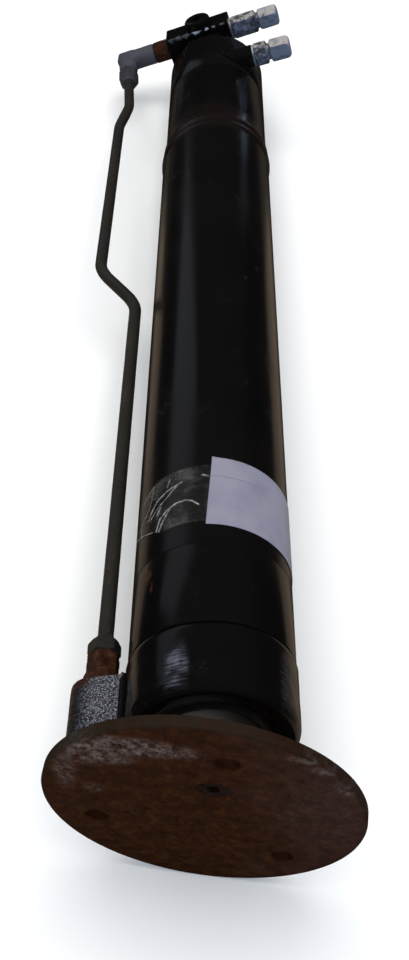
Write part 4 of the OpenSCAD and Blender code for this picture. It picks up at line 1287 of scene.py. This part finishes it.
def glossy_switch(tree, output, seen, mirrored):
    """Gives the output one shader for the eye and the light, and another for reflections."""
    glossy = new_node(tree, "LightPath").outputs["Is Glossy Ray"]
    mix = new_node(tree, "MixShader", {0: glossy, 1: seen.outputs[0], 2: mirrored.outputs[0]})
    put(tree.nodes[output].inputs["Surface"], mix.outputs[0])


def make_floor():
    """White floor. In reflections it is a brown board that lies under the cylinder."""
    floor_mesh = bpy.data.meshes.new("floor")
    corners = [(x * FLOOR_HALF, y * FLOOR_HALF, 0) for x, y in ((-1, -1), (1, -1), (1, 1), (-1, 1))]
    floor_mesh.from_pydata(corners, [], [(0, 1, 2, 3)])
    floor = new_object("floor", floor_mesh)
    floor.location = CONTACT_FOOT - Vector((0, 0, FLOOR_GAP))
    floor.rotation_euler = (slope, 0, 0)
    look = Look("floor_white")
    x, y, _ = look.xyz()
    far = look.math("ABSOLUTE", x)
    board = look.times(look.between(far, 0.085, 0.14), look.between(far, 0.36, 0.27))
    board = look.times(board, look.between(y, 0.78, 0.96, 1.0, 0.45))
    mirrored = look.add("Emission", {
        "Color": look.mix(board, (0.30, 0.27, 0.26), (0.95, 0.74, 0.54)),
        "Strength": look.between(board, 0.0, 1.0, 0.03, 0.30),
    })
    floor_mesh.materials.append(look.finish((0.93, 0.93, 0.93), 0.95, gloss=0.0))
    glossy_switch(look.tree, "Material Output", look.shader, mirrored)


def make_world():
    """Pale even sky. In reflections it is dim grey, and darker towards the ground."""
    world = bpy.data.worlds.new("studio")
    scene.world = world
    world.use_nodes = True
    tree = world.node_tree
    sky = tree.nodes["Background"]
    put(sky.inputs["Color"], (0.96, 0.98, 1.0))
    put(sky.inputs["Strength"], 0.62)
    where = new_node(tree, "TexCoord").outputs["Generated"]
    height = new_node(tree, "SeparateXYZ", {"Vector": where}).outputs["Z"]
    fade = new_node(tree, "MapRange", {
        "Value": height, "From Min": 0.30, "From Max": 0.75, "To Min": 0.008, "To Max": 0.055,
    }).outputs[0]
    mirrored = new_node(tree, "Background", {"Color": (0.94, 0.92, 0.95), "Strength": fade})
    glossy_switch(tree, "World Output", sky, mirrored)


def soft_light(name, position, target, size, power, colour, mirrored=True):
    """Area light of that size in metres. Where it is not mirrored, gloss doesn't show it."""
    data = bpy.data.lights.new(name, "AREA")
    data.shape = "RECTANGLE"
    data.size, data.size_y = size
    data.energy = power
    data.color = colour
    lamp = new_object(name, data)
    lamp.location = position
    lamp.visible_glossy = mirrored
    lamp.rotation_euler = (Vector(target) - Vector(position)).to_track_quat("-Z", "Y").to_euler()


make_floor()
make_world()
soft_light("overhead", (0.0, 0.4, 3.3), (0, 0.1, 0), (3.4, 3.0), 94, (1.0, 0.99, 0.97), False)
soft_light("window_left", (-2.7, 3.3, 1.85), (0, 0.1, 0), (2.6, 2.0), 4.6, (0.82, 0.88, 1.0))
soft_light("window_far", (1.40, 4.1, 0.50), (0, 0.9, 0.05), (0.26, 0.30), 0.7, (0.62, 0.78, 1.0))
soft_light("front_fill", (0.6, -2.6, 1.0), (0, 0.2, 0), (2.2, 1.2), 22, (0.56, 0.74, 1.0), False)

# Camera: place, direction and upward side, in metres
CAMERA_AT = (0.0, -0.4773, 0.6651)
LOOKS = Vector((-0.00796, 0.71080, -0.70335)).normalized()
CAMERA_UP = Vector((-0.00754, 0.70330, 0.71085))
camera_data = bpy.data.cameras.new("camera")
camera_data.lens = 42.73
camera_data.sensor_width = 36.0
camera_data.clip_start, camera_data.clip_end = 0.05, 60
camera = new_object("camera", camera_data)
right = LOOKS.cross(CAMERA_UP).normalized()
camera.matrix_world = shift(*CAMERA_AT) @ Matrix((right, right.cross(LOOKS), -LOOKS)).transposed().to_4x4()
scene.camera = camera
